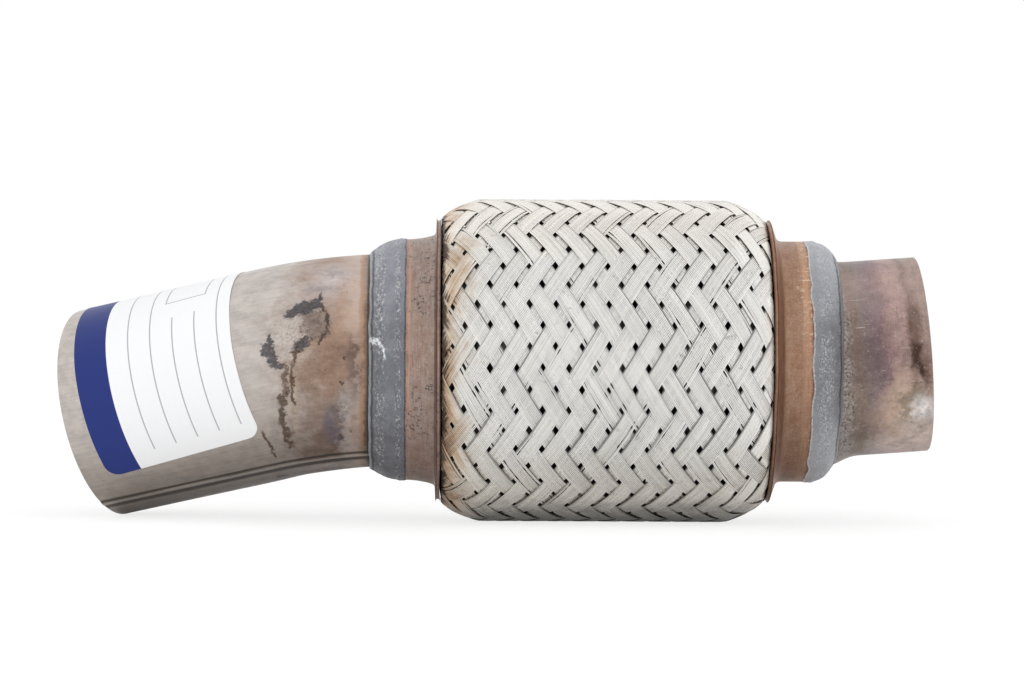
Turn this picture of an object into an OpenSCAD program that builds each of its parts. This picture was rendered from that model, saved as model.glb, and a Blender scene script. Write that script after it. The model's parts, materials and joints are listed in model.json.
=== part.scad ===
// Exhaust flex pipe: a braided flexible section between a bent inlet tube and a short outlet stub.
// Millimetres. The flexible section lies along X, inlet end at -X, outlet end at +X, Z is up.
// The part lies as it comes to rest: on the braid and on the lowest point of the inlet rim.

/* [Tubes] */

// Outside diameter of the inlet tube, which the layers of the flexible section slip over
inlet_od = 60; // [50:0.5:75]
// Outside diameter of the outlet stub
outlet_od = 55; // [44:0.5:58]
// Wall of both tubes
tube_wall = 1.5; // [1:0.1:2.5]
// How far each tube reaches into the layers, counted from the end of its collar
tube_insert = 9; // [4:0.5:12]

/* [Inlet bend] */

// Angle of the bend in the inlet tube
bend_angle = 22; // [5:0.5:40]
// Centre-line radius of that bend
bend_radius = 100; // [80:1:160]
// Turn of the bend's plane from straight down towards the back
bend_turn = 54; // [0:0.5:90]
// Straight length from the bend to the inlet rim
inlet_straight = 54.5; // [50:0.5:90]
// Place of the tube's long seam, as an angle round the tube from the outside of the bend
seam_angle = 95; // [60:1:140]
// Width of the seam bead
seam_width = 2.4; // [1.5:0.1:4]
// Height of the seam bead above the tube
seam_height = 0.25; // [0.1:0.05:0.6]

/* [Outlet stub] */

// Upward kick of the outlet stub
outlet_kick = 4.4; // [0:0.2:10]
// Centre-line radius of that kick
kick_radius = 60; // [55:1:120]
// Length over which the outlet tube necks down to its stub
neck_length = 9; // [5:0.5:14]
// Straight length of the stub after the neck
stub_length = 20; // [12:0.5:60]

/* [Flexible section] */

// Distance between the two collar lips
flex_length = 92.6; // [70:0.2:200]
// Outside diameter over the braid
braid_od = 91.12; // [84:0.02:110]
// Length of the curved shoulder at each end of the braid
shoulder_length = 12; // [6:0.5:20]
// Number of strands wound each way
carriers = 24; // [16:2:32]
// Spacing of the gaps along the braid
gap_pitch = 7.27; // [5:0.01:12]
// Thickness of the braid under its strands
braid_sheet = 0.7; // [0.4:0.05:1.2]
// Height of the strands over the braid's grooves
strand_rise = 0.8; // [0.3:0.05:1.4]
// Thickness of the braid where a collar clamps it
braid_clamped = 0.95; // [0.6:0.05:1.4]
// Columns of open gaps along the braid
open_columns = 10; // [2:1:10]

/* [Collars] */

// Sheet of the collars
collar_sheet = 1.2; // [0.8:0.1:2]
// Diameter over the collar lips
lip_od = 80; // [76:0.2:83]
// Length of the inlet collar from lip to end
inlet_collar_length = 9.9; // [9:0.1:20]
// Length of the outlet collar from lip to end
outlet_collar_length = 12; // [9:0.1:20]
// Angle of the flared flange to the pipe
flare_angle = 70; // [55:1:75]
// Fillet between collar and flange, at the middle of the sheet
flare_fillet = 3; // [1.5:0.1:3.6]

/* [Welds] */

// Length of the inlet weld along the tube
inlet_weld_length = 9.3; // [5:0.1:14]
// Length of the outlet weld along the tube
outlet_weld_length = 7.4; // [5:0.1:9]
// Height of each weld's toe above its tube
weld_toe = 0.8; // [0.65:0.05:1.2]

/* [Inner layers] */

// Sheet of the bellows
bellows_sheet = 0.6; // [0.3:0.05:0.8]
// Number of convolutions in the bellows
bellows_waves = 12; // [8:1:16]
// Length of the bellows' convoluted part
bellows_length = 76; // [60:1:78]
// Gap between the bellows' crests and the braid
bellows_gap = 1.2; // [0.6:0.1:3]
// Sheet of the liner hose
liner_sheet = 0.8; // [0.5:0.05:1.2]
// Spacing of the liner hose's turns
liner_pitch = 5.2; // [3.5:0.1:8]
// Depth of the step between the liner hose's turns
liner_step = 0.6; // [0.3:0.05:1]

/* [Label] */

// Distance from the inlet rim to the label
label_inset = 6; // [2:0.5:10]
// Length of the label along the tube
label_length = 47.8; // [20:0.2:48]
// Length of the label round the tube
label_wrap = 100; // [40:1:150]
// Place of the label's lower edge, as an angle round the tube from the outside of the bend
label_edge = 71.5; // [40:0.5:85]
// Corner radius of the label
label_corner = 4; // [1:0.5:8]
// Thickness of the label
label_film = 0.12; // [0.08:0.01:0.3]

/* [Fits] */

// Clearance between one layer and the next
fit = 0.1; // [0.08:0.01:0.2]
// How far the layers' ends sit back from the ends of the collars
layer_inset = 1.5; // [0.5:0.1:3]

/* [Hidden] */

$fn = 96;
tiny = 0.02;

// Radii of the layers, from the tube outwards
tube_r = inlet_od / 2;
bore_r = tube_r - tube_wall;
stub_r = outlet_od / 2;
liner_in = tube_r + fit;
liner_out = liner_in + liner_sheet;
bellows_in = liner_out + fit;
bellows_out = bellows_in + bellows_sheet;
rows = 2 * carriers;
row_angle = 360 / rows;
braid_in = (bellows_out + fit) / cos(row_angle / 2);
braid_out = braid_in + braid_clamped;
collar_in = braid_out + fit;
collar_mid = collar_in + collar_sheet / 2;
collar_out = collar_in + collar_sheet;
lip_mid = lip_od / 2 - collar_sheet / 2 * cos(flare_angle);

// Stations along the pipe
lip_x = flex_length / 2;
inlet_end = lip_x + inlet_collar_length;
outlet_end = lip_x + outlet_collar_length;
bend_start = -(inlet_end - layer_inset);

// The flared path that collar and braid share: cuff, fillet about one centre, straight flange
flange_length = (lip_mid - collar_mid - flare_fillet * (1 - cos(flare_angle))) / sin(flare_angle);
flare_x = lip_x + flare_fillet * sin(flare_angle) + flange_length * cos(flare_angle);
flare_centre = collar_mid + flare_fillet;

// A point of that path, deep being the distance inwards from the middle of the collar's sheet
function flare_arc(a, deep) =
    [flare_x - (flare_fillet + deep) * sin(a), flare_centre - (flare_fillet + deep) * cos(a)];
function flare_tip(deep, along) =
    flare_arc(flare_angle, deep) + along * [-cos(flare_angle), sin(flare_angle)];

// Depths of the braid's two faces in the collar
braid_deep_out = collar_sheet / 2 + fit;
braid_deep_in = braid_deep_out + braid_clamped;

// The braid's meridian outside the collar: a shoulder curve up to the straight crest
crest_r = braid_od / 2;
groove_r = crest_r - strand_rise;
crest_x = lip_x - shoulder_length;
shoulder_foot = flare_tip(braid_deep_out, flange_length);
shoulder_lead = shoulder_foot + 0.1 * shoulder_length * [-cos(flare_angle), sin(flare_angle)];
shoulder_top = [crest_x, groove_r];
shoulder_run = [crest_x + 0.12 * shoulder_length, groove_r];
function shoulder(t) = pow(1 - t, 3) * shoulder_foot + 3 * pow(1 - t, 2) * t * shoulder_lead
    + 3 * (1 - t) * t * t * shoulder_run + t * t * t * shoulder_top;
shoulder_steps = 16;
half_meridian = [for (k = [0 : shoulder_steps]) shoulder(k / shoulder_steps)];
meridian = concat(
    [for (p = half_meridian) [-p[0], p[1]]],
    [for (k = [shoulder_steps : -1 : 0]) half_meridian[k]]
);
function run_to(k) = k == 0 ? 0 : run_to(k - 1) + norm(meridian[k] - meridian[k - 1]);
runs = [for (k = [0 : len(meridian) - 1]) run_to(k)];
braid_run = runs[len(runs) - 1];
run_to_x = [for (k = [0 : len(runs) - 1]) [runs[k], meridian[k][0]]];
run_to_r = [for (k = [0 : len(runs) - 1]) [runs[k], meridian[k][1]]];
columns = 2 * round(braid_run / gap_pitch);
column_run = braid_run / columns;

// A point over the braid's meridian: row and column may be fractions, up is the height over the grooves
strand_inset = 0.72;
row_phase = -(1 - strand_inset) / 2;
function on_meridian(s) = [lookup(s, run_to_x), lookup(s, run_to_r)];
function meridian_normal(s) =
    let (d = on_meridian(min(s + 0.4, braid_run)) - on_meridian(max(s - 0.4, 0)))
    [-d[1], d[0]] / norm(d);
function round_pipe(x, r, row) =
    let (a = (row + row_phase) * row_angle)
    [x, -r * cos(a), r * sin(a)];
function on_braid(row, column, up) =
    let (s = column * column_run, p = on_meridian(s) + up * meridian_normal(s))
    round_pipe(p[0], p[1], row);

// Corners of the weave. Gap points are the grid points whose row and column add up to an even number.
grid_size = rows * (columns + 1);
function outer(i, j) = ((i + rows) % rows) * (columns + 1) + j;
function inner(i, j) = grid_size + outer(i, j);

// Open gaps: every fourth row, in columns about the middle. Each has three corners on the groove
// lines; its fourth side runs straight past the strand that floats over that grid point.
gap_span = 0.2;
open_used = min(open_columns, columns / 2 - 3);
open_first = columns / 2 - open_used + (columns / 2 - open_used) % 2;
gap_base = 2 * grid_size;
gap_rows = rows / 4;
function is_open(i, j) =
    (i + rows) % 4 == 0 && j % 2 == 0 && j >= open_first && j < open_first + 2 * open_used;
function gap_corner(i, j, d, low) =
    gap_base + ((((i + rows) % rows) / 4) * open_used + (j - open_first) / 2) * 6 + low * 3 + d;
gap_steps = [[1, 1], [-1, -1], [-1, 1]];
function gap_toward(i, j, v, low) =
    v[0] > 0 && v[1] < 0
    ? (low == 0 ? outer(i, j) : inner(i, j))
    : gap_corner(i, j, v[0] > 0 ? 0 : v[1] < 0 ? 1 : 2, low);

// Floats: each strand passes over two others and then under two
floats = concat(
    [for (i = [0 : 4 : rows - 1], j = [1 : 2 : columns - 3])
        [[i - 1, j], [i, j + 1], [i + 1, j + 2], [i + 2, j + 1], [i + 1, j], [i, j - 1], [i, j], [i + 1, j + 1]]],
    [for (i = [3 : 4 : rows - 1], j = [2 : 2 : columns - 2])
        [[i - 2, j + 1], [i - 1, j + 2], [i, j + 1], [i + 1, j], [i, j - 1], [i - 1, j], [i - 1, j + 1], [i, j]]]
);
float_base = gap_base + gap_rows * open_used * 6;
function float_top(f, k, n) = float_base + n * 6 + k;
function near_cell(f, k) =
    norm(f[k] - f[6]) < 1.1 ? (norm(f[k] - f[7]) < 1.1 ? (f[6] + f[7]) / 2 : f[6]) : f[7];
function is_middle(f, k) = norm(f[k] - f[6]) < 1.1 && norm(f[k] - f[7]) < 1.1;
function top_point(f, k) =
    let (c = near_cell(f, k), q = c + strand_inset * (f[k] - c))
    on_braid(q[0], q[1], is_middle(f, k) ? strand_rise : 0.45 * strand_rise);

// Plain rings where the collars clamp the braid
ring_stops = [flare_angle, flare_angle * 2 / 3, flare_angle / 3, 0];
ring_count = len(ring_stops) + 1;
function ring_path(deep, end_x) =
    concat([for (a = ring_stops) flare_arc(a, deep)], [[end_x - layer_inset, flare_centre - flare_fillet - deep]]);
ring_base = float_base + len(floats) * 6;
// side 0 is the inlet end, face 0 the outside
function ring_point(side, face, k, i) =
    k == 0
    ? (face == 0 ? outer(i, side * columns) : inner(i, side * columns))
    : ring_base + ((side * 2 + face) * ring_count + k - 1) * rows + (i + rows) % rows;

braid_points = concat(
    [for (i = [0 : rows - 1], j = [0 : columns]) on_braid(i, j, 0)],
    [for (i = [0 : rows - 1], j = [0 : columns]) on_braid(i, j, -braid_sheet)],
    [for (gi = [0 : gap_rows - 1], gj = [0 : open_used - 1], low = [0, 1], d = gap_steps)
        on_braid(gi * 4 + gap_span * d[0], open_first + 2 * gj + gap_span * d[1], -low * braid_sheet)],
    [for (f = floats, k = [0 : 5]) top_point(f, k)],
    [for (side = [0, 1], face = [0, 1],
          p = ring_path(face == 0 ? braid_deep_out : braid_deep_in, side == 0 ? inlet_end : outlet_end),
          i = [0 : rows - 1])
        round_pipe((2 * side - 1) * p[0], p[1], i)]
);

// A corner of a face: one grid point, or two at an open gap, where from and to are its neighbours
function corner(q, from, to, low) =
    is_open(q[0], q[1])
    ? [gap_toward(q[0], q[1], from - q, low), gap_toward(q[0], q[1], to - q, low)]
    : [low == 0 ? outer(q[0], q[1]) : inner(q[0], q[1])];
function flat(lists) = [for (l = lists) each l];
function loop_of(c, low) =
    flat([for (k = [0 : len(c) - 1]) corner(c[k], c[(k + len(c) - 1) % len(c)], c[(k + 1) % len(c)], low)]);
function turned(f) = [for (k = [len(f) - 1 : -1 : 0]) f[k]];
function fan(f) = [for (k = [1 : len(f) - 2]) [f[0], f[k], f[k + 1]]];
function cell(i, j) = [[i - 1, j], [i, j + 1], [i + 1, j], [i, j - 1]];

// Sides and top of one float
function float_side(f, n, k) =
    let (
        m = (k + 1) % 6,
        a = corner(f[k], f[(k + 5) % 6], f[m], 0),
        b = corner(f[m], f[k], f[(m + 1) % 6], 0),
        step = len(a) > 1 ? [[a[0], a[1], float_top(f, k, n)]] : []
    )
    concat(step, fan([a[len(a) - 1], b[0], float_top(f, m, n), float_top(f, k, n)]));
function float_cap(f, n) =
    let (k = is_middle(f, 1) ? 1 : 2, t = [for (q = [0 : 5]) float_top(f, (k + q) % 6, n)])
    concat(fan([t[0], t[1], t[2], t[3]]), fan([t[3], t[4], t[5], t[0]]));

// Cells that no float covers, at the two ends of the weave
loose_cells = concat(
    [for (i = [0 : 4 : rows - 1]) cell(i, columns - 1)],
    [for (i = [2 : 4 : rows - 1]) cell(i, 1)]
);
end_cells = concat(
    [for (i = [1 : 2 : rows - 1]) [[i - 1, 0], [i, 1], [i + 1, 0], [i, 0]]],
    [for (i = [1 : 2 : rows - 1]) [[i - 1, columns], [i, columns], [i + 1, columns], [i, columns - 1]]]
);
inner_cells = concat(
    [for (i = [0 : rows - 1], j = [1 : columns - 1]) if ((i + j) % 2 == 1) cell(i, j)],
    end_cells
);

function ring_quad(side, face, k, i) =
    let (q = [ring_point(side, face, k, i), ring_point(side, face, k - 1, i),
              ring_point(side, face, k - 1, i + 1), ring_point(side, face, k, i + 1)])
    fan(side == face ? q : turned(q));
function end_quad(side, i) =
    let (q = [ring_point(side, 0, ring_count, i), ring_point(side, 0, ring_count, i + 1),
              ring_point(side, 1, ring_count, i + 1), ring_point(side, 1, ring_count, i)])
    fan(side == 0 ? q : turned(q));
function gap_walls(i, j) = concat(
    fan([inner(i, j), gap_corner(i, j, 0, 1), gap_corner(i, j, 0, 0), gap_corner(i, j, 1, 0), gap_corner(i, j, 1, 1)]),
    fan([gap_corner(i, j, 1, 0), gap_corner(i, j, 2, 0), gap_corner(i, j, 2, 1), gap_corner(i, j, 1, 1)]),
    fan([gap_corner(i, j, 2, 0), gap_corner(i, j, 0, 0), gap_corner(i, j, 0, 1), gap_corner(i, j, 2, 1)])
);

braid_faces = concat(
    flat([for (n = [0 : len(floats) - 1], k = [0 : 5]) float_side(floats[n], n, k)]),
    flat([for (n = [0 : len(floats) - 1]) float_cap(floats[n], n)]),
    flat([for (c = concat(loose_cells, end_cells)) fan(loop_of(c, 0))]),
    flat([for (c = inner_cells) fan(turned(loop_of(c, 1)))]),
    flat([for (gi = [0 : gap_rows - 1], gj = [0 : open_used - 1]) gap_walls(gi * 4, open_first + 2 * gj)]),
    flat([for (side = [0, 1], face = [0, 1], k = [1 : ring_count], i = [0 : rows - 1])
        ring_quad(side, face, k, i)]),
    flat([for (side = [0, 1], i = [0 : rows - 1]) end_quad(side, i)])
);

// Bellows: crest and root arcs of one radius, joined by straight flanks
wave_pitch = bellows_length / bellows_waves;
wave_r = wave_pitch / 4;
root_mid = bellows_in + bellows_sheet / 2;
crest_mid = groove_r - braid_sheet - bellows_gap - bellows_sheet / 2;
arc_steps = 5;
function wave(x, side) = concat(
    [for (k = [0 : arc_steps])
        let (a = -90 + 90 * k / arc_steps)
        [x - wave_pitch / 2, root_mid + wave_r] + (wave_r - side) * [cos(a), sin(a)]],
    [for (k = [0 : 2 * arc_steps])
        let (a = 180 - 90 * k / arc_steps)
        [x, crest_mid - wave_r] + (wave_r + side) * [cos(a), sin(a)]],
    [for (k = [0 : arc_steps - 1])
        let (a = 180 + 90 * k / arc_steps)
        [x + wave_pitch / 2, root_mid + wave_r] + (wave_r - side) * [cos(a), sin(a)]]
);
function bellows_face(side) = concat(
    [[-inlet_end + layer_inset, root_mid + side]],
    flat([for (k = [0 : bellows_waves - 1]) wave((k + 0.5) * wave_pitch - bellows_length / 2, side)]),
    [[bellows_length / 2, root_mid + side], [outlet_end - layer_inset, root_mid + side]]
);

// Liner hose: turns of folded strip, stepped inside and out, with plain cuffs over the tubes
liner_clear = 1.5;
liner_half = lip_x + min(inlet_collar_length, outlet_collar_length) - tube_insert - liner_clear;
liner_turns = floor(2 * liner_half / liner_pitch);
liner_start = -liner_turns * liner_pitch / 2;
function turn(x, r) = [
    [x, r - liner_step],
    [x + 0.2 * liner_pitch, r - liner_step],
    [x + 0.3 * liner_pitch, r],
    [x + 0.9 * liner_pitch, r]
];
function liner_face(r) = concat(
    [[-inlet_end + layer_inset, r], [liner_start - 0.5, r]],
    flat([for (k = [0 : liner_turns - 1]) turn(liner_start + k * liner_pitch, r)]),
    [[liner_start + liner_turns * liner_pitch, r - liner_step], [-liner_start + 0.5, r], [outlet_end - layer_inset, r]]
);

// Where the inlet rim ends up, and the box of the whole part
inlet_way = [-cos(bend_angle), sin(bend_angle) * sin(bend_turn), -sin(bend_angle) * cos(bend_turn)];
bend_drop = bend_radius * (1 - cos(bend_angle)) + inlet_straight * sin(bend_angle);
rim_centre = [
    bend_start - bend_radius * sin(bend_angle) - inlet_straight * cos(bend_angle),
    bend_drop * sin(bend_turn),
    -bend_drop * cos(bend_turn)
];
function rim_reach(k) = tube_r * sqrt(1 - inlet_way[k] * inlet_way[k]);
kick_start = outlet_end - layer_inset;
outlet_way = [cos(outlet_kick), 0, sin(outlet_kick)];
stub_end = [kick_start + kick_radius * sin(outlet_kick), 0, kick_radius * (1 - cos(outlet_kick))]
    + (neck_length + stub_length) * outlet_way;
low = [rim_centre[0] - rim_reach(0), min(-crest_r, rim_centre[1] - rim_reach(1)),
       min(-crest_r, rim_centre[2] - rim_reach(2))];
high = [stub_end[0] + stub_r * sin(outlet_kick), max(crest_r, rim_centre[1] + rim_reach(1)), crest_r];

// Puts the middle of the part's footprint at the origin
module set_down() {
    translate([-(low[0] + high[0]) / 2, -(low[1] + high[1]) / 2, -low[2]])
        children();
}

// Turns a profile of [x, radius] points about the pipe's axis
module lathe(points) {
    rotate([0, 90, 0])
        rotate_extrude()
            polygon([for (p = points) [p[1], p[0]]]);
}

// Lays a section drawn in XY across the pipe: section X up, section Y to the front, extrusion along +X
module across() {
    rotate([180, 0, 0])
        rotate([0, 90, 0])
            children();
}

// The local frame at the inlet bend's end, with the tube leaving along -X
module after_bend() {
    rotate([bend_turn, 0, 0])
        translate([bend_start, 0, -bend_radius])
            rotate([0, -bend_angle, 0])
                translate([0, 0, bend_radius])
                    children();
}

// The local frame at the outlet kick's end, with the tube leaving along +X
module after_kick() {
    translate([kick_start, 0, kick_radius])
        rotate([0, -outlet_kick, 0])
            translate([0, 0, -kick_radius])
                children();
}

module tube_ring(r) {
    difference() {
        circle(r);
        circle(r - tube_wall);
    }
}

// A faint ring that laps the joint between a bend and the straight insert, inside the layers
joint_angle = 0.25;
module joint_ring() {
    difference() {
        circle(tube_r + tiny);
        circle(bore_r - tiny);
    }
}

// Section of the seamed tube: the bead stands on the outside only
module seamed_ring() {
    difference() {
        union() {
            circle(tube_r);
            rotate(seam_angle)
                polygon([
                    [tube_r - tube_wall / 2, -seam_width / 2],
                    [tube_r + seam_height / 2, -seam_width * 0.4],
                    [tube_r + seam_height, -seam_width * 0.2],
                    [tube_r + seam_height, seam_width * 0.2],
                    [tube_r + seam_height / 2, seam_width * 0.4],
                    [tube_r - tube_wall / 2, seam_width / 2]
                ]);
        }
        circle(bore_r);
    }
}

// A piece of bend that ends in the local frame's origin, where the tube leaves along -X
module bend_piece(angle) {
    translate([0, 0, -bend_radius])
        mirror([1, 0, 0])
            rotate([90, 0, 0])
                rotate([0, 0, 90])
                    rotate_extrude(angle = angle)
                        translate([bend_radius, 0])
                            children();
}

module inlet_tube() {
    insert = tube_insert - layer_inset;
    color("#9a8f86")
    set_down()
    union() {
        translate([bend_start, 0, 0])
            across()
                linear_extrude(insert)
                    tube_ring(tube_r);
        after_bend() {
            bend_piece(bend_angle)
                seamed_ring();
            translate([0, 0, -bend_radius])
                rotate([0, bend_angle - joint_angle, 0])
                    translate([0, 0, bend_radius])
                        bend_piece(2 * joint_angle)
                            joint_ring();
            translate([-inlet_straight, 0, 0])
                across()
                    linear_extrude(inlet_straight)
                        seamed_ring();
        }
    }
}

// A weld bead's profile, from the collar's end to its toe
function bead(end_x, way, length, foot_r) = [
    [end_x, foot_r - 4],
    [end_x, collar_out],
    [end_x + way * 0.15 * length, collar_out - 0.01 * (collar_out - foot_r)],
    [end_x + way * 0.30 * length, collar_out - 0.07 * (collar_out - foot_r)],
    [end_x + way * 0.45 * length, collar_out - 0.17 * (collar_out - foot_r)],
    [end_x + way * 0.60 * length, collar_out - 0.33 * (collar_out - foot_r)],
    [end_x + way * 0.75 * length, collar_out - 0.55 * (collar_out - foot_r)],
    [end_x + way * 0.90 * length, collar_out - 0.82 * (collar_out - foot_r)],
    [end_x + way * length, foot_r],
    [end_x + way * length, foot_r - 4]
];

module inlet_weld() {
    color("#7f868e")
    set_down()
    difference() {
        lathe(bead(-inlet_end, -1, inlet_weld_length, tube_r + weld_toe));
        after_bend()
            bend_piece(bend_angle + 4)
                circle(tube_r + 2 * tiny);
    }
}

// A collar's profile, drawn for the outlet end: cuff, fillet, flange and rounded lip
function collar_profile(end_x) = concat(
    [[end_x, collar_out]],
    [for (k = [0 : 6]) flare_arc(flare_angle * k / 6, -collar_sheet / 2)],
    [for (k = [0 : 4])
        let (a = 90 - flare_angle - 180 * k / 4)
        flare_tip(0, flange_length) + collar_sheet / 2 * [cos(a) * 1, sin(a)]],
    [for (k = [6 : -1 : 0]) flare_arc(flare_angle * k / 6, collar_sheet / 2)],
    [[end_x, collar_in]]
);

module inlet_collar() {
    color("#8a6a58")
    set_down()
    mirror([1, 0, 0])
        lathe(collar_profile(inlet_end));
}

module outlet_collar() {
    color("#8a6a58")
    set_down()
    lathe(collar_profile(outlet_end));
}

module outer_braid() {
    color("#cfcdc8")
    set_down()
    polyhedron(points = braid_points, faces = [for (f = braid_faces) turned(f)], convexity = 6);
}

module bellows() {
    color("#b8b2a8")
    set_down()
    lathe(concat(bellows_face(bellows_sheet / 2), turned(bellows_face(-bellows_sheet / 2))));
}

module inner_liner() {
    color("#a8a49c")
    set_down()
    lathe(concat(liner_face(liner_out), turned(liner_face(liner_in))));
}

// Necked part and stub of the outlet tube, as [x, radius] with the neck's shares of the way down
neck_shares = [[0, 0], [0.11, 0.06], [0.28, 0.26], [0.5, 0.58], [0.67, 0.8], [0.83, 0.94], [1, 1]];
function neck(r0, r1) = [for (s = neck_shares) [s[0] * neck_length, r0 + s[1] * (r1 - r0)]];
function stub_profile(gap) = concat(
    neck(tube_r + gap, stub_r + gap),
    [[neck_length + stub_length, stub_r + gap]],
    [[neck_length + stub_length, stub_r - tube_wall]],
    turned(neck(bore_r, stub_r - tube_wall))
);

// A piece of the outlet's kick that ends in the local frame's origin, where the tube leaves along +X
module kick_piece(angle) {
    translate([0, 0, kick_radius])
        mirror([1, 0, 0])
            rotate([90, 0, 0])
                rotate([0, 0, -90])
                    rotate_extrude(angle = angle)
                        translate([kick_radius, 0])
                            children();
}

module outlet_tube() {
    insert = tube_insert - layer_inset;
    color("#84756f")
    set_down()
    union() {
        translate([kick_start - insert, 0, 0])
            across()
                linear_extrude(insert)
                    tube_ring(tube_r);
        after_kick() {
            kick_piece(outlet_kick)
                tube_ring(tube_r);
            translate([0, 0, kick_radius])
                rotate([0, outlet_kick - joint_angle, 0])
                    translate([0, 0, -kick_radius])
                        kick_piece(2 * joint_angle)
                            joint_ring();
            lathe(stub_profile(0));
        }
    }
}

module outlet_weld() {
    foot_r = stub_r + weld_toe;
    gap = 2 * tiny;
    color("#9a9da2")
    set_down()
    difference() {
        lathe(bead(outlet_end, 1, outlet_weld_length, foot_r));
        after_kick() {
            kick_piece(outlet_kick + 4)
                circle(tube_r + gap);
            lathe(concat([[0, 0]], neck(tube_r + gap, stub_r + gap),
                         [[neck_length + stub_length, stub_r + gap], [neck_length + stub_length, 0]]));
        }
    }
}

// Cuts one corner of the label round, drawn with the corner at the origin
module corner_cut() {
    difference() {
        translate([-1, -1])
            square(label_corner + 1);
        translate([label_corner, label_corner])
            circle(label_corner + tiny);
    }
}

module label() {
    film_in = tube_r + tiny;
    sweep = label_wrap / film_in * 180 / PI;
    color("#e9edf2")
    set_down()
    after_bend()
        translate([-inlet_straight, 0, 0])
            across()
                difference() {
                    rotate([0, 0, label_edge - sweep])
                        rotate_extrude(angle = sweep)
                            translate([film_in, label_inset])
                                square([label_film, label_length]);
                    for (end = [0, 1], side = [0, 1])
                        rotate([0, 0, side == 0 ? label_edge : label_edge - sweep])
                            translate([0, 0, label_inset + end * label_length])
                                mirror([0, 0, end])
                                    mirror([0, 1 - side, 0])
                                        rotate([90, 0, 90])
                                            linear_extrude(2 * film_in)
                                                corner_cut();
                }
}

inlet_tube();
inlet_weld();
inlet_collar();
outer_braid();
bellows();
inner_liner();
outlet_collar();
outlet_weld();
outlet_tube();
label();
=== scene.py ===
"""Exhaust flex pipe: the looks of every piece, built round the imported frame.

Pieces are drawn in millimetres from the middle of the flexible section, X along the pipe and Z up,
and put into the frame in metres.
"""

import json
import logging
import math
from dataclasses import dataclass, replace
from enum import Enum
from typing import Callable, Sequence, Union

import bpy
import numpy as np
from mathutils import Matrix, Vector

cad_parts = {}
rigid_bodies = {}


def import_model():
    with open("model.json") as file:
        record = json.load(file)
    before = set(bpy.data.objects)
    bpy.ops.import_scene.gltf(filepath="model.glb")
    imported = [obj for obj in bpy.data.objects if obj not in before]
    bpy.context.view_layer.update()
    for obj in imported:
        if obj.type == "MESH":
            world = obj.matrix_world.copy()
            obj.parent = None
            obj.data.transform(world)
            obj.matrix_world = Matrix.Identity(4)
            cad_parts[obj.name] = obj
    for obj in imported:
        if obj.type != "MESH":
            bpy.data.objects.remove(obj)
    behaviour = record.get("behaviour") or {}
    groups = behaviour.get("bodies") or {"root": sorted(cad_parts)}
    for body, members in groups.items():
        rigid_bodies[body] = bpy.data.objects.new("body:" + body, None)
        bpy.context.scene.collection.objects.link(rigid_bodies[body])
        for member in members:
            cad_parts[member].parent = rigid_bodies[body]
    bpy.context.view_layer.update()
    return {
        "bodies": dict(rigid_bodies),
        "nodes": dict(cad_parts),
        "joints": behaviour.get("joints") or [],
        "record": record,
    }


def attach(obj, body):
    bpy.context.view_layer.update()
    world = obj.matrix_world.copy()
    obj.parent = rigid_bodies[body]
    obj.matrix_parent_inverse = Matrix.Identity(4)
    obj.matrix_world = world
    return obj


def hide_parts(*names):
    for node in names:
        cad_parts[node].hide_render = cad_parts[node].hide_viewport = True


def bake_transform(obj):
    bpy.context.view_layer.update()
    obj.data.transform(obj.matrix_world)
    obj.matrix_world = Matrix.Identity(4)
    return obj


LOG = logging.getLogger("flex_pipe")
MM = 0.001
Colour = tuple[float, float, float]
Pair = tuple[float, float]
Piece = bpy.types.Object
Array = np.ndarray

# The inlet collar's flange is steeper than the outlet's, and its cuff opens towards it.
STEEP_FLARE = math.radians(86.0)
STEEP_FILLET = 1.8
STEEP_RISE = 1.05
STEEP_OPENING = math.radians(19.0)
RUBBED_RIM = 0.2


class Body(Enum):
    """The two rigid sides of the pipe."""

    INLET = "inlet_side"
    OUTLET = "outlet_side"


class Lay(Enum):
    """The way a strand winds as it runs from the inlet to the outlet."""

    RISING = 1
    FALLING = -1


def arithmetic(operation: str, swapped: bool = False) -> Callable[["Wire", "Value"], "Wire"]:
    """Makes one of a wire's operators, which adds a Math node; swapped puts the other value first."""

    def operate(self: "Wire", other: "Value") -> "Wire":
        """Adds the node."""
        first, second = (other, self) if swapped else (self, other)
        return self.graph.math(operation, first, second)

    return operate


class Wire:
    """A value in a node tree that plain arithmetic extends with Math nodes."""

    def __init__(self, graph: "Graph", socket: bpy.types.NodeSocket) -> None:
        """Holds the socket that gives the value."""
        self.graph = graph
        self.socket = socket

    __add__ = arithmetic("ADD")
    __radd__ = arithmetic("ADD", swapped=True)
    __sub__ = arithmetic("SUBTRACT")
    __rsub__ = arithmetic("SUBTRACT", swapped=True)
    __mul__ = arithmetic("MULTIPLY")
    __rmul__ = arithmetic("MULTIPLY", swapped=True)
    __truediv__ = arithmetic("DIVIDE")
    __rtruediv__ = arithmetic("DIVIDE", swapped=True)

    def swing(self, reach: float) -> "Wire":
        """Turns a value from 0 to 1 into one that swings about 0, by half the reach each way."""
        return (self - 0.5) * reach


Value = Union[Wire, float, int]


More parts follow.
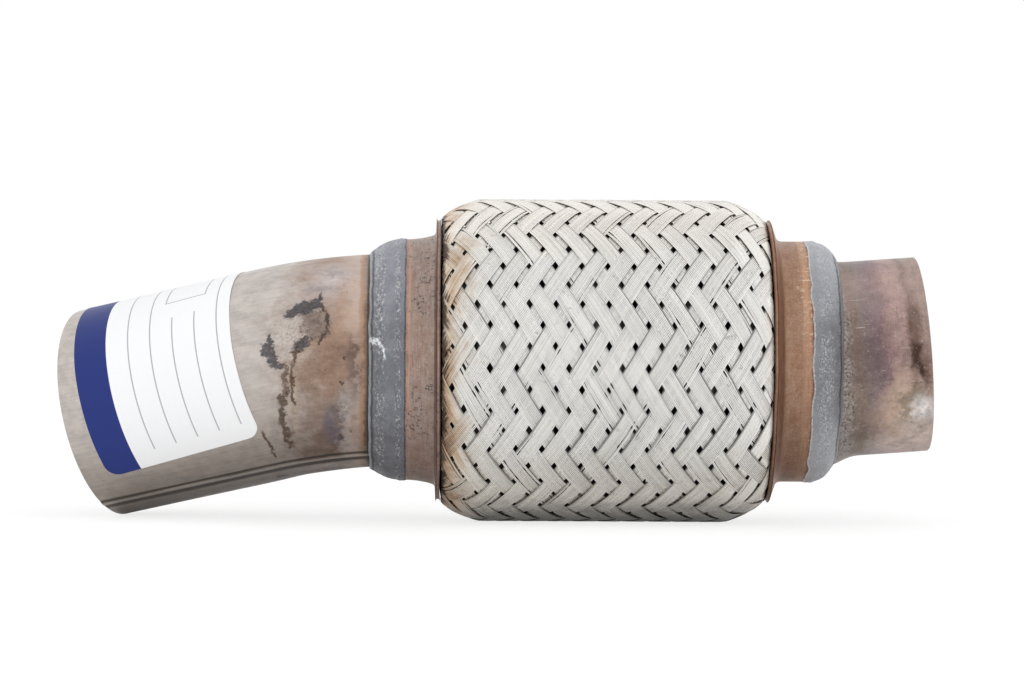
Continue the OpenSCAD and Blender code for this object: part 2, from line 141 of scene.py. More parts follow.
class Graph:
    """Adds nodes to one tree and links them."""

    def __init__(self, tree: bpy.types.NodeTree) -> None:
        """Holds the tree that is extended."""
        self.tree = tree

    def node(self, kind: str, **settings: object) -> bpy.types.Node:
        """Adds a node.

        Args:
            kind: The node's type name.
            settings: Properties to set on it.

        Returns:
            The new node.
        """
        made = self.tree.nodes.new(kind)
        for key, value in settings.items():
            setattr(made, key, value)
        return made

    def put(self, socket: bpy.types.NodeSocket, value: object) -> None:
        """Links a wire to a socket, or sets a plain value on it."""
        if isinstance(value, Wire):
            self.tree.links.new(value.socket, socket)
        elif isinstance(value, tuple) and len(value) == 3 and socket.type == "RGBA":
            socket.default_value = (*value, 1.0)
        else:
            socket.default_value = value

    def fill(self, node: bpy.types.Node, **values: object) -> None:
        """Puts values on a node's inputs, whose names are given with _ for each space."""
        for name, value in values.items():
            self.put(node.inputs[name.replace("_", " ")], value)

    def out(self, node: bpy.types.Node, which: Union[int, str] = 0) -> Wire:
        """Takes one of a node's outputs as a wire."""
        return Wire(self, node.outputs[which])

    def math(self, operation: str, *values: Value) -> Wire:
        """Adds a Math node for the operation on one to three values."""
        made = self.node("ShaderNodeMath", operation=operation)
        for socket, value in zip(made.inputs, values):
            self.put(socket, value)
        return self.out(made)

    def size(self, value: Wire) -> Wire:
        """Takes a value without its sign."""
        return self.math("ABSOLUTE", value)

    def vector(self, x: Value, y: Value, z: Value) -> Wire:
        """Joins three values to a vector."""
        made = self.node("ShaderNodeCombineXYZ")
        for socket, value in zip(made.inputs, (x, y, z)):
            self.put(socket, value)
        return self.out(made)

    def parts(self, vector: Wire) -> tuple[Wire, Wire, Wire]:
        """Splits a vector into its three values."""
        made = self.node("ShaderNodeSeparateXYZ")
        self.put(made.inputs[0], vector)
        return self.out(made, 0), self.out(made, 1), self.out(made, 2)

    def step(self, value: Value, low: float, high: float) -> Wire:
        """Rises smoothly from 0 at low to 1 at high, or falls where low is the greater."""
        made = self.node("ShaderNodeMapRange", interpolation_type="SMOOTHSTEP")
        flip = low > high
        self.put(made.inputs["Value"], value)
        self.put(made.inputs["From Min"], min(low, high))
        self.put(made.inputs["From Max"], max(low, high))
        self.put(made.inputs["To Min"], 1.0 if flip else 0.0)
        self.put(made.inputs["To Max"], 0.0 if flip else 1.0)
        return self.out(made, "Result")

    def noise(self, vector: Wire, scale: float, detail: float, rough: float) -> Wire:
        """Adds a noise of about 0 to 1 over a vector.

        Args:
            vector: Where the noise is read.
            scale: How many lumps go on a unit of the vector.
            detail: Octaves.
            rough: How strong the finer octaves are.

        Returns:
            The noise.
        """
        made = self.node("ShaderNodeTexNoise", noise_dimensions="3D")
        self.fill(made, Vector=vector, Scale=scale, Detail=detail, Roughness=rough)
        return self.out(made)

    def mix(self, share: Value, first: object, second: object) -> Wire:
        """Mixes two colours, the second by its share."""
        made = self.node("ShaderNodeMix", data_type="RGBA")
        for index, value in ((0, share), (6, first), (7, second)):
            self.put(made.inputs[index], value)
        return self.out(made, 2)

    def shade(self, colour: object, amount: Value) -> Wire:
        """Makes a colour lighter or darker by a factor."""
        made = self.node("ShaderNodeVectorMath", operation="SCALE")
        if isinstance(colour, Wire):
            self.put(made.inputs[0], colour)
        else:
            made.inputs[0].default_value = colour
        self.put(made.inputs["Scale"], amount)
        return self.out(made)

    def ramp(self, value: Wire, stops: Sequence[tuple[float, Colour]]) -> Wire:
        """Reads a colour from stops along a value.

        Args:
            value: What is looked up.
            stops: Values in rising order with their colours.

        Returns:
            The colour.
        """
        low, high = stops[0][0], stops[-1][0]
        made = self.node("ShaderNodeValToRGB")
        self.put(made.inputs[0], (value - low) / (high - low))
        marks = made.color_ramp.elements
        for index, (at, colour) in enumerate(stops):
            share = (at - low) / (high - low)
            mark = marks[index] if index < 2 else marks.new(share)
            mark.position = share
            mark.color = (*colour, 1.0)
        return self.out(made)

    def bump(self, height: Wire, depth: float) -> Wire:
        """Turns a height from 0 to 1 into a normal, depth being its reach in metres."""
        made = self.node("ShaderNodeBump")
        self.fill(made, Strength=1.0, Distance=depth, Height=height)
        return self.out(made)


def blank_graph(owner: Union[bpy.types.Material, bpy.types.World]) -> Graph:
    """Gives a material or a world an empty node tree."""
    owner.use_nodes = True
    owner.node_tree.nodes.clear()
    return Graph(owner.node_tree)


@dataclass(frozen=True)
class Lobe:
    """One rounded part of a stain, placed by its distance from the rim and its angle round the tube."""

    along: float
    angle: float
    half_along: float
    half_angle: float
    lean: float = 0.0


@dataclass(frozen=True)
class Stain:
    """A stain or a tint on a tube, made of lobes that run together."""

    colour: Colour
    lobes: tuple[Lobe, ...]
    strength: float
    soft: float
    ragged: float
    grain: float


class Paint:
    """A material under construction: its tree, its coordinates and its shader.

    The RAGGED values say how far a wholly ragged stain's edge strays: along the tube in millimetres, round
    it in degrees, and in shares of a lobe. MELT is how far lobes run together, in the same shares.
    """

    NOISE_SPAN = (0.28, 0.72)
    RAGGED_ALONG = 2.8
    RAGGED_ANGLE = 5.4
    RAGGED_GRAIN = 1.2
    MELT = 0.3
    FAR = 9.0
    TWIST_SHIFT = 31.0

    def __init__(self, name: str, centre: Vector) -> None:
        """Starts an empty material.

        Args:
            name: The material's name.
            centre: The middle of the flexible section in the frame, in metres.
        """
        self.material = bpy.data.materials.new(name)
        self.colour: Union[Wire, Colour] = (1.0, 1.0, 1.0)
        self.graph = blank_graph(self.material)
        self.shader = self.graph.node("ShaderNodeBsdfPrincipled")
        end = self.graph.node("ShaderNodeOutputMaterial")
        self.graph.put(end.inputs["Surface"], self.graph.out(self.shader))
        coordinates = self.graph.node("ShaderNodeTexCoord")
        mapping = self.graph.node("ShaderNodeMapping", vector_type="POINT")
        scale = 1.0 / MM
        self.graph.put(mapping.inputs["Vector"], self.graph.out(coordinates, "Object"))
        mapping.inputs["Location"].default_value = tuple(-c * scale for c in centre)
        mapping.inputs["Scale"].default_value = (scale, scale, scale)
        self.point = self.graph.out(mapping)

    def attribute(self, name: str, output: str) -> Wire:
        """Reads one of the piece's own attributes."""
        return self.graph.out(self.graph.node("ShaderNodeAttribute", attribute_name=name), output)

    def tube_place(self) -> tuple[Wire, Wire, Wire, Wire]:
        """Reads a tube's own place attribute.

        Returns:
            The distance from the rim, the angle round in degrees, the distance from the axis, and the
            whole place as a vector, all in millimetres.
        """
        g = self.graph
        place = self.attribute("place", "Vector")
        along, out_y, out_z = g.parts(place)
        angle = g.math("ARCTAN2", out_z, out_y) * (180.0 / math.pi)
        radius = g.math("SQRT", out_y * out_y + out_z * out_z)
        return along, angle, radius, place

    def noise(self, vector: Wire, scale: float, detail: float, rough: float) -> Wire:
        """Reads a noise that runs all the way from 0 to 1, scale being its lumps on a millimetre."""
        return self.graph.step(self.graph.noise(vector, scale, detail, rough), *self.NOISE_SPAN)

    def coat(self, share: Value, colour: object) -> None:
        """Lays a colour over what is there, by its share."""
        self.colour = self.graph.mix(share, self.colour, colour)

    def shade(self, amount: Value) -> None:
        """Makes what is there lighter or darker by a factor."""
        self.colour = self.graph.shade(self.colour, amount)

    def lay(self, stains: Sequence[Stain], along: Wire, angle: Wire, place: Wire) -> None:
        """Lays stains over what is there, the first one lowest.

        Args:
            stains: The stains.
            along: Distance from the rim.
            angle: Angle round the tube.
            place: The tube's place vector, for the stains' ragged edges.
        """
        g = self.graph
        bend = self.noise(place, 0.5, 4.0, 0.65) - 0.5
        shifted = g.vector(*(v + self.TWIST_SHIFT for v in g.parts(place)))
        twist = self.noise(shifted, 0.5, 4.0, 0.65) - 0.5
        for stain in stains:
            here = along + bend * (self.RAGGED_ALONG * stain.ragged)
            turned = angle + twist * (self.RAGGED_ANGLE * stain.ragged)
            nearest: Value = self.FAR
            for lobe in stain.lobes:
                turn = turned - lobe.angle
                side = (here - lobe.along - lobe.lean * turn) / lobe.half_along
                rise = turn / lobe.half_angle
                distance = g.math("SQRT", side * side + rise * rise)
                nearest = g.math("SMOOTH_MIN", nearest, distance, self.MELT)
            grain = self.noise(place, stain.grain, 4.0, 0.75)
            edge = nearest + grain.swing(self.RAGGED_GRAIN * stain.ragged)
            cover = g.step(edge, 1.0 + stain.soft, 1.0 - stain.soft)
            self.coat(cover * stain.strength, g.shade(stain.colour, 0.60 + 0.80 * grain))

    def finish(
        self, rough: Value, normal: Wire, metal: float = 1.0, **others: object
    ) -> bpy.types.Material:
        """Puts the colour and the other inputs on the shader, and returns the material."""
        self.graph.fill(self.shader, Base_Color=self.colour, Metallic=metal, Roughness=rough)
        self.graph.fill(self.shader, Normal=normal, **others)
        return self.material


@dataclass(frozen=True)
class TubeSteel:
    """Brushed tube steel with heat tint towards the weld and dried residue on the bend."""

    centre: Vector
    weld_toe: float
    steel: Colour = (0.55, 0.50, 0.465)
    brown: Colour = (0.335, 0.205, 0.138)
    pale: Colour = (0.46, 0.41, 0.385)
    toe: Colour = (0.20, 0.135, 0.105)
    peach: Colour = (0.66, 0.51, 0.42)
    orange: Colour = (0.47, 0.29, 0.19)
    # Painted shade for the tube's lower half.
    under: Colour = (0.27, 0.225, 0.19)
    inside: Colour = (0.30, 0.28, 0.26)
    residue: Colour = (0.085, 0.08, 0.088)
    rust: Colour = (0.105, 0.06, 0.04)
    shadow: Colour = (0.10, 0.08, 0.068)
    bright: Colour = (0.60, 0.54, 0.50)
    toe_shade: Colour = (0.06, 0.045, 0.04)
    seam_side_shade: Colour = (0.05, 0.04, 0.033)
    seam_crest_highlight: Colour = (0.50, 0.45, 0.41)
    bore: Pair = (29.2, 28.9)

    def stains(self) -> list[Stain]:
        """Lists the residue and tints, from the lowest layer up."""
        residue, rust = self.residue, self.rust
        return [
            # Broad heat tints beside the weld, over a pale painted sheen high on the tube.
            Stain((0.56, 0.50, 0.495), (Lobe(76.5, -17.0, 6.0, 20.0),), 0.8, 0.8, 0.9, 0.15),
            Stain((0.38, 0.24, 0.165), (Lobe(79.3, 6.0, 2.0, 18.0),), 0.5, 0.6, 0.9, 0.25),
            Stain((0.22, 0.14, 0.10), (Lobe(77.5, 36.0, 6.0, 12.0), Lobe(70.0, 42.0, 3.0, 10.0)),
                  0.5, 0.8, 0.9, 0.2),
            Stain((0.46, 0.41, 0.385), (Lobe(77.7, 62.0, 1.3, 12.0), Lobe(76.5, 86.0, 2.4, 14.0)),
                  0.75, 0.5, 0.8, 0.3),
            Stain((0.12, 0.085, 0.075), (Lobe(80.6, 38.0, 1.1, 15.0),), 0.6, 0.6, 0.8, 0.25),
            Stain((0.33, 0.215, 0.16), (Lobe(80.2, 72.0, 1.1, 9.0),), 0.6, 0.6, 0.8, 0.25),
            Stain((0.40, 0.35, 0.335), (Lobe(77.8, 97.0, 4.5, 8.0),), 0.5, 0.8, 0.8, 0.2),
            # A mauve patch and two straw streaks.
            Stain((0.17, 0.15, 0.185), (Lobe(73.8, 70.0, 2.3, 11.0, -0.02),), 0.72, 0.6, 0.7, 0.25),
            Stain((0.45, 0.355, 0.28), (Lobe(66.6, 48.0, 0.9, 9.0, -0.08),
                  Lobe(65.2, 62.0, 0.9, 12.0, -0.05)), 0.6, 0.4, 0.7, 0.5),
            # A brown patch with a dark edge, and a pale scrape beside it.
            Stain((0.24, 0.19, 0.165), (Lobe(72.9, 12.5, 3.0, 9.5, 0.05),), 0.85, 0.2, 0.45, 0.9),
            Stain((0.075, 0.055, 0.045), (Lobe(75.5, 12.0, 0.42, 7.0, 0.03),
                  Lobe(74.3, 20.5, 0.42, 3.8, -0.30), Lobe(74.6, 3.8, 0.42, 3.2, 0.30)),
                  0.85, 0.4, 0.35, 1.2),
            Stain((0.54, 0.475, 0.43), (Lobe(67.3, 16.5, 3.2, 7.6, -0.05), Lobe(64.4, 18.0, 1.8, 4.6),
                  Lobe(66.6, 27.0, 2.0, 2.6)), 0.8, 0.35, 0.9, 1.6),
            # Grey residue in blots.
            Stain(residue, (Lobe(68.2, 4.4, 2.0, 3.2, -0.2), Lobe(70.8, 2.0, 2.7, 4.4, -0.25),
                  Lobe(72.9, 0.4, 1.5, 3.6, -0.2), Lobe(73.8, -3.6, 0.5, 3.2, -0.15)),
                  0.92, 0.22, 0.42, 1.1),
            Stain(residue, (Lobe(69.4, 23.0, 2.1, 3.2, -0.25), Lobe(70.6, 20.4, 1.2, 2.6)),
                  0.92, 0.25, 0.42, 1.1),
            Stain(residue, (Lobe(62.5, 18.2, 0.8, 3.6, 0.08), Lobe(61.9, 23.6, 1.5, 4.8, 0.05),
                  Lobe(62.7, 29.4, 1.2, 3.8, 0.15), Lobe(64.0, 32.6, 1.4, 1.3, 0.3)),
                  0.9, 0.25, 0.42, 1.1),
            # Rust runs down the bend.
            Stain(rust, (Lobe(67.9, 29.0, 0.5, 4.5, -0.09), Lobe(66.6, 41.0, 0.40, 9.0, -0.07),
                  Lobe(65.9, 51.0, 0.36, 4.0, 0.04), Lobe(68.2, 26.6, 1.5, 1.0)), 0.88, 0.45, 0.3, 1.0),
            Stain((0.15, 0.10, 0.075), (Lobe(65.2, 38.0, 0.8, 5.5, -0.07), Lobe(64.6, 45.5, 0.75, 4.5)),
                  0.85, 0.4, 0.5, 1.0),
            Stain((0.115, 0.08, 0.06), (Lobe(63.4, 51.0, 1.15, 3.8, -0.1),
                  Lobe(62.4, 59.0, 1.05, 6.0, -0.1), Lobe(61.7, 69.0, 1.05, 6.0, -0.02),
                  Lobe(61.4, 77.0, 0.8, 5.0)), 0.9, 0.3, 0.5, 1.0),
            Stain(rust, (Lobe(55.9, 70.0, 0.55, 3.4, 0.03), Lobe(56.2, 77.0, 0.40, 5.0, -0.02),
                  Lobe(55.8, 84.5, 0.32, 3.5)), 0.88, 0.45, 0.3, 1.0),
            # A pale strip on the underside, a mark at its end, and small dark spots.
            Stain((0.50, 0.45, 0.42), (Lobe(71.0, 105.0, 11.0, 4.5),), 0.62, 0.6, 0.6, 0.2),
            Stain((0.06, 0.05, 0.045), (Lobe(52.4, 109.5, 1.6, 1.8, 0.3),), 0.85, 0.35, 0.5, 1.0),
            Stain((0.07, 0.05, 0.045), (Lobe(80.0, 65.5, 0.5, 1.3), Lobe(77.5, 46.0, 0.55, 0.9),
                  Lobe(75.6, 78.0, 1.0, 1.6), Lobe(78.3, 75.0, 0.45, 1.0), Lobe(79.0, 33.0, 0.4, 0.8)),
                  0.8, 0.4, 0.5, 1.6),
        ]

    def make(self) -> bpy.types.Material:
        """Builds the material."""
        paint = Paint("inlet_tube_steel", self.centre)
        g = paint.graph
        along, angle, radius, place = paint.tube_place()
        out_x, out_y, out_z = g.parts(place)
        x = g.parts(paint.point)[0]
        fine = paint.noise(g.vector(out_x * 0.05, out_y, out_z), 2.6, 3.0, 0.75)
        broad = paint.noise(g.vector(out_x * 0.05, out_y, out_z), 0.55, 4.0, 0.65)
        cloud = paint.noise(place, 0.06, 4.0, 0.6)
        speck = paint.noise(place, 1.5, 4.0, 0.75)
        mottle = paint.noise(place, 0.28, 5.0, 0.7)
        to_weld = self.weld_toe - x
        heat = g.step(to_weld + cloud.swing(12.0) + mottle.swing(6.0), 33.0, 7.0)
        paint.colour = g.mix(heat * 0.84, self.steel, self.brown)
        paler = g.step(to_weld + mottle.swing(2.6), 8.5, 5.0) * g.step(to_weld, 2.0, 3.4)
        paint.coat(paler * (0.15 + 0.65 * cloud), self.pale)
        paint.coat(g.step(to_weld + mottle.swing(1.2), 2.0, 0.8) * 0.75, self.toe)
        # Painted shade: the lower half is coated darker, and darkened further where it is heat tinted.
        below = g.step(angle + mottle.swing(8.0), 25.0, 100.0) * (0.72 - 0.50 * heat)
        paint.coat(below, self.under)
        paint.shade(1.0 - 0.42 * heat * g.step(angle + cloud.swing(20.0), 40.0, 80.0))
        paint.coat(g.step(angle, 98.0, 116.0) * 0.55, self.shadow)
        paint.shade(0.72 + 0.16 * fine + 0.14 * broad + 0.26 * mottle)
        paint.lay(self.stains(), along, angle, place)
        glow = g.step(to_weld + mottle.swing(3.0) + cloud.swing(4.0), 9.5, 3.0)
        glow = glow * g.step(to_weld + speck.swing(0.6), 1.4, 3.0)
        weak = g.step(g.size(angle - 33.0 + cloud.swing(12.0)), 28.0, 13.0) * 0.74
        low = g.step(angle, 68.0, 92.0) * 0.4
        glow = glow * (0.75 - weak) * (1.0 - low) * (0.45 + 0.3 * speck + 0.4 * broad)
        paint.coat(glow, self.peach)
        line = g.step(g.size(to_weld - 2.0 + mottle.swing(0.9)), 1.1, 0.2)
        paint.coat(line * (0.6 - weak * 0.6) * (1.0 - low), self.orange)
        pits = g.step(speck, 0.88, 0.97) * g.step(to_weld + cloud.swing(10.0), 30.0, 8.0)
        paint.coat(pits * 0.6, self.rust)
        glint = g.step(speck, 0.10, 0.03) * g.step(along, 40.0, 60.0)
        paint.coat(glint * 0.4, self.bright)
        # Painted shadow in the crevice at the weld's toe.
        paint.coat(g.step(to_weld + speck.swing(0.3), 0.8, 0.4) * 0.75, self.toe_shade)
        # Painted shade beside the seam bead, and a painted highlight along its crest.
        wiggle = angle + broad.swing(0.5)
        groove = g.step(g.size(wiggle - 92.4), 1.7, 0.4) + g.step(g.size(wiggle - 98.6), 3.2, 1.2)
        paint.coat(groove * 0.85, self.seam_side_shade)
        paint.coat(g.step(g.size(wiggle - 95.0), 1.1, 0.3) * 0.6, self.seam_crest_highlight)
        paint.coat(g.step(radius, *self.bore), self.inside)
        rough = 0.24 + 0.12 * fine + 0.10 * heat + 0.06 * mottle
        normal = g.bump(fine * 0.6 + speck * 0.4, 0.00004)
        return paint.finish(rough, normal)


@dataclass(frozen=True)
class StubSteel:
    """Tube steel with the mauve and straw bands of welding, a scorch and a rubbed patch at the rim."""

    centre: Vector
    bands: tuple[tuple[float, Colour], ...] = (
        (-2.0, (0.38, 0.28, 0.245)), (3.6, (0.37, 0.27, 0.235)), (5.2, (0.25, 0.17, 0.15)),
        (6.8, (0.40, 0.28, 0.25)), (10.5, (0.42, 0.29, 0.265)), (12.8, (0.30, 0.19, 0.205)),
        (14.6, (0.225, 0.165, 0.18)), (17.4, (0.235, 0.19, 0.18)), (20.0, (0.225, 0.17, 0.14)),
        (24.0, (0.24, 0.19, 0.165)), (34.0, (0.17, 0.15, 0.14)),
    )
    straw: Colour = (0.57, 0.43, 0.33)
    bright: Colour = (0.64, 0.57, 0.52)
    pit: Colour = (0.08, 0.055, 0.05)
    scratch: Colour = (0.66, 0.59, 0.55)
    score: Colour = (0.09, 0.065, 0.06)
    spatter: Colour = (0.40, 0.385, 0.38)
    dark_fleck: Colour = (0.06, 0.05, 0.05)
    inside: Colour = (0.26, 0.23, 0.21)
    bore: Pair = (26.7, 26.4)

    def stains(self) -> list[Stain]:
        """Lists the stains by distance from the stub's rim and angle from the top towards the front."""
        return [
            # A pale sheen over the front, and a darker strip below it.
            Stain((0.50, 0.385, 0.35), (Lobe(14.0, 42.0, 18.0, 16.0),), 0.40, 0.9, 0.8, 0.1),
            Stain((0.15, 0.10, 0.095), (Lobe(16.0, 86.0, 15.0, 15.0),), 0.5, 0.8, 0.8, 0.12),
            # Straw and cream towards the underside.
            Stain(self.straw, (Lobe(10.5, 122.0, 5.5, 20.0, 0.1),), 0.78, 0.7, 0.8, 0.16),
            Stain((0.64, 0.54, 0.475), (Lobe(4.5, 142.0, 6.5, 18.0), Lobe(12.0, 152.0, 6.0, 12.0)),
                  0.75, 0.6, 0.7, 0.2),
            # The scorch at the rim.
            Stain((0.15, 0.09, 0.068), (Lobe(4.2, 76.0, 1.7, 22.0, 0.02), Lobe(1.8, 96.0, 1.5, 10.0)),
                  0.74, 0.75, 0.3, 0.2),
            Stain((0.06, 0.034, 0.026), (Lobe(4.3, 88.0, 1.5, 6.5, 0.05),
                  Lobe(3.2, 96.0, 1.1, 8.0, -0.12)), 0.9, 0.7, 0.4, 0.3),
            # The rubbed patch at the rim, with its dull edge below it.
            Stain((0.215, 0.185, 0.13), (Lobe(5.0, 112.0, 2.6, 5.0), Lobe(7.8, 121.0, 1.3, 9.0)),
                  0.6, 0.5, 0.8, 0.4),
            Stain((0.72, 0.68, 0.655), (Lobe(3.0, 121.0, 3.3, 8.0), Lobe(5.2, 125.0, 1.5, 5.0)),
                  0.85, 0.5, 0.6, 0.4),
        ]

    def make(self) -> bpy.types.Material:
        """Builds the material."""
        paint = Paint("outlet_tube_steel", self.centre)
        g = paint.graph
        along, angle, radius, place = paint.tube_place()
        out_x, out_y, out_z = g.parts(place)
        cloud = paint.noise(place, 0.08, 4.0, 0.6)
        mottle = paint.noise(place, 0.30, 5.0, 0.7)
        grain = paint.noise(place, 1.4, 4.0, 0.75)
        ringed = paint.noise(g.vector(out_x * 1.8, out_y * 0.10, out_z * 0.10), 1.5, 4.0, 0.7)
        wander = along + cloud.swing(3.2) + mottle.swing(1.6)
        paint.colour = g.ramp(wander, self.bands)
        paint.shade(0.62 + 0.30 * grain + 0.18 * ringed + 0.30 * mottle)
        paint.lay(self.stains(), along, angle, place)
        paint.coat(g.step(grain, 0.86, 0.97) * 0.40, self.bright)
        paint.coat(g.step(grain, 0.12, 0.03) * 0.40, self.pit)
        scored = g.noise(g.vector(out_x * 0.07, out_y, out_z), 1.2, 2.0, 0.5)
        scratch = g.step(scored, 0.69, 0.73) * g.step(along, 4.0, 9.0)
        paint.coat(scratch * 0.55, self.scratch)
        paint.coat(g.step(scored, 0.30, 0.26) * 0.35, self.score)
        spatter = g.step(along + mottle.swing(2.6), 21.5, 24.0)
        paint.coat(spatter * g.step(grain, 0.35, 0.75) * 0.75, self.spatter)
        # Painted shadow: dark specks among the spatter lumps.
        paint.coat(spatter * g.step(grain, 0.30, 0.10) * 0.75, self.dark_fleck)
        paint.coat(g.step(radius, *self.bore), self.inside)
        rough = 0.26 + 0.20 * grain
        normal = g.bump(grain * 0.6 + ringed * 0.2 + mottle * 0.2 + spatter * mottle, 0.00006)
        return paint.finish(rough, normal)


@dataclass(frozen=True)
class WeldMetal:
    """Matt weld bead with fine bright spatter in bands along it.

    Each band is its distance from the toe, its half width and its strength. The lift is painted light:
    how much lighter the bead is made at the top and at the bottom, darker where it is below zero.
    """

    centre: Vector
    name: str
    tone: Colour
    edge: Colour
    bands: tuple[tuple[float, float, float], ...]
    border: float
    border_tone: Colour
    smear: tuple[Stain, ...] = ()
    spark: Colour = (0.80, 0.79, 0.74)
    pit: Colour = (0.05, 0.05, 0.056)
    groove: Colour = (0.06, 0.06, 0.068)
    shadow_line_at: float = 0.95
    lift: Pair = (0.0, 0.0)
    fine: float = 1.25
    least_spatter: float = 0.12

    def make(self) -> bpy.types.Material:
        """Builds the material."""
        paint = Paint(self.name, self.centre)
        g = paint.graph
        along, angle, _, place = paint.tube_place()
        x, y, z = g.parts(paint.point)
        cloud = paint.noise(paint.point, 0.10, 4.0, 0.6)
        mottle = paint.noise(paint.point, 0.34, 5.0, 0.7)
        grain = paint.noise(paint.point, 1.5, 5.0, 0.8)
        fibre = paint.noise(g.vector(x * 1.2, y * 0.7, z * 0.7), self.fine, 4.0, 0.9)
        # Painted light: the lift makes the bead lighter towards its top and its bottom, darker where below
        # zero.
        away = g.step(z, 4.0, 32.0) * self.lift[0] + g.step(z, -4.0, -32.0) * self.lift[1]
        paint.colour = g.shade(self.tone, 0.60 + 0.26 * cloud + 0.30 * grain + 0.22 * mottle + away)
        band: Value = self.least_spatter
        for at, half, strength in self.bands:
            far = g.size(along - at + mottle.swing(0.8))
            band = band + g.step(far, half * 1.3, half * 0.4) * strength
        patchy = g.math("MINIMUM", band, 1.0) * g.step(mottle * 0.5 + cloud * 0.5, 0.12, 0.62)
        paint.coat(g.step(fibre, 0.66, 0.84) * patchy * 0.95, self.spark)
        paint.coat(g.step(fibre, 0.30, 0.10) * patchy * 0.75, self.pit)
        ridge = along + mottle.swing(0.35)
        # Painted shadow: a dark line just inside the toe ridge.
        groove = g.step(g.size(ridge - self.shadow_line_at), 0.40, 0.15)
        paint.coat(groove * 0.65, self.groove)
        paint.coat(g.step(ridge, 0.62, 0.40) * 0.8, self.edge)
        rim = g.step(along + grain.swing(0.35), self.border - 0.55, self.border - 0.25)
        paint.coat(rim * (0.25 + 0.75 * g.step(fibre, 0.30, 0.62)) * 0.85, self.border_tone)
        paint.lay(self.smear, along, angle, place)
        rough = 0.40 + 0.20 * grain
        normal = g.bump(grain * 0.45 + fibre * 0.35 + mottle * 0.4, 0.00014)
        return paint.finish(rough, normal)


@dataclass(frozen=True)
class HeatedSheet:
    """Pressed sheet that the weld coloured brown, with a copper line beside the bead and a rubbed rim."""

    centre: Vector
    name: str
    brown: Colour
    dull: Colour
    copper: Colour
    copper_at: float
    copper_half: float
    rim: Colour
    rim_r: float
    # glow_from and glint set painted highlight: the copper line and the glint streaks are brighter above
    # glow_from.
    glow_from: float
    dotted: float
    ringed: float = 0.30
    toe: Colour = (0.10, 0.07, 0.065)
    glint: float = 0.0
    toe_at: float = 0.0
    low: float = 0.0
    shine: Colour = (0.88, 0.70, 0.54)
    dot: Colour = (0.055, 0.036, 0.032)
    bright: Colour = (0.60, 0.51, 0.46)

    def make(self) -> bpy.types.Material:
        """Builds the material."""
        paint = Paint(self.name, self.centre)
        g = paint.graph
        along, _, radius, _ = paint.tube_place()
        x, y, z = g.parts(paint.point)
        cloud = paint.noise(paint.point, 0.09, 4.0, 0.65)
        mottle = paint.noise(paint.point, 0.40, 5.0, 0.7)
        grain = paint.noise(paint.point, 1.6, 4.0, 0.8)
        ringed = paint.noise(g.vector(x * 2.2, y * 0.10, z * 0.10), 1.4, 4.0, 0.7)
        drawn = paint.noise(g.vector(x * 0.20, y, z), 1.1, 3.0, 0.7)
        paint.colour = g.mix(cloud * 0.4 + mottle * 0.4, self.brown, self.dull)
        tone = 0.88 - self.ringed + 0.28 * grain + self.ringed * ringed + 0.08 * drawn + 0.24 * mottle
        paint.shade(tone)
        # Painted shade: darker towards the bottom, by low.
        paint.shade(1.0 - self.low * g.step(z + cloud.swing(14.0), 2.0, -26.0))
        # The copper heat-tint line beside the bead, with a painted highlight that strengthens it above
        # glow_from.
        far = g.size(along - self.copper_at + mottle.swing(0.7))
        warm = g.step(far, self.copper_half, self.copper_half * 0.2) * (0.35 + 0.65 * ringed)
        warm = warm * (0.35 + 0.65 * g.step(z, self.glow_from - 12.0, self.glow_from + 12.0))
        paint.coat(warm * 0.85, self.copper)
        # Painted glints: bright streaks near the bead on the upper part.
        streak = g.step(drawn * 0.6 + grain * 0.4, 0.58, 0.80) * g.step(along + cloud.swing(3.0), 6.0, 2.5)
        streak = streak * g.step(z, self.glow_from - 8.0, self.glow_from + 8.0)
        streak = streak * g.step(mottle, 0.25, 0.75)
        paint.coat(streak * self.glint, self.shine)
        toe = g.step(along + grain.swing(0.5), self.toe_at + 0.55, self.toe_at + 0.2)
        paint.coat(toe * 0.7, self.toe)
        dots = g.step(paint.noise(paint.point, 0.8, 4.0, 0.8), 1.0 - self.dotted, 1.0 - 0.5 * self.dotted)
        paint.coat(dots * g.step(cloud, 0.15, 0.80) * 0.85, self.dot)
        # Painted glints: small bright specks.
        paint.coat(g.step(grain, 0.82, 0.96) * g.step(mottle, 0.2, 0.7) * 0.5, self.bright)
        rubbed = g.step(radius + grain.swing(0.3), self.rim_r - 0.2, self.rim_r + 0.1)
        paint.coat(rubbed * 0.8, self.rim)
        rough = 0.30 + 0.20 * grain
        normal = g.bump(grain * 0.5 + mottle * 0.3 + drawn * 0.2, 0.00008)
        return paint.finish(rough, normal)


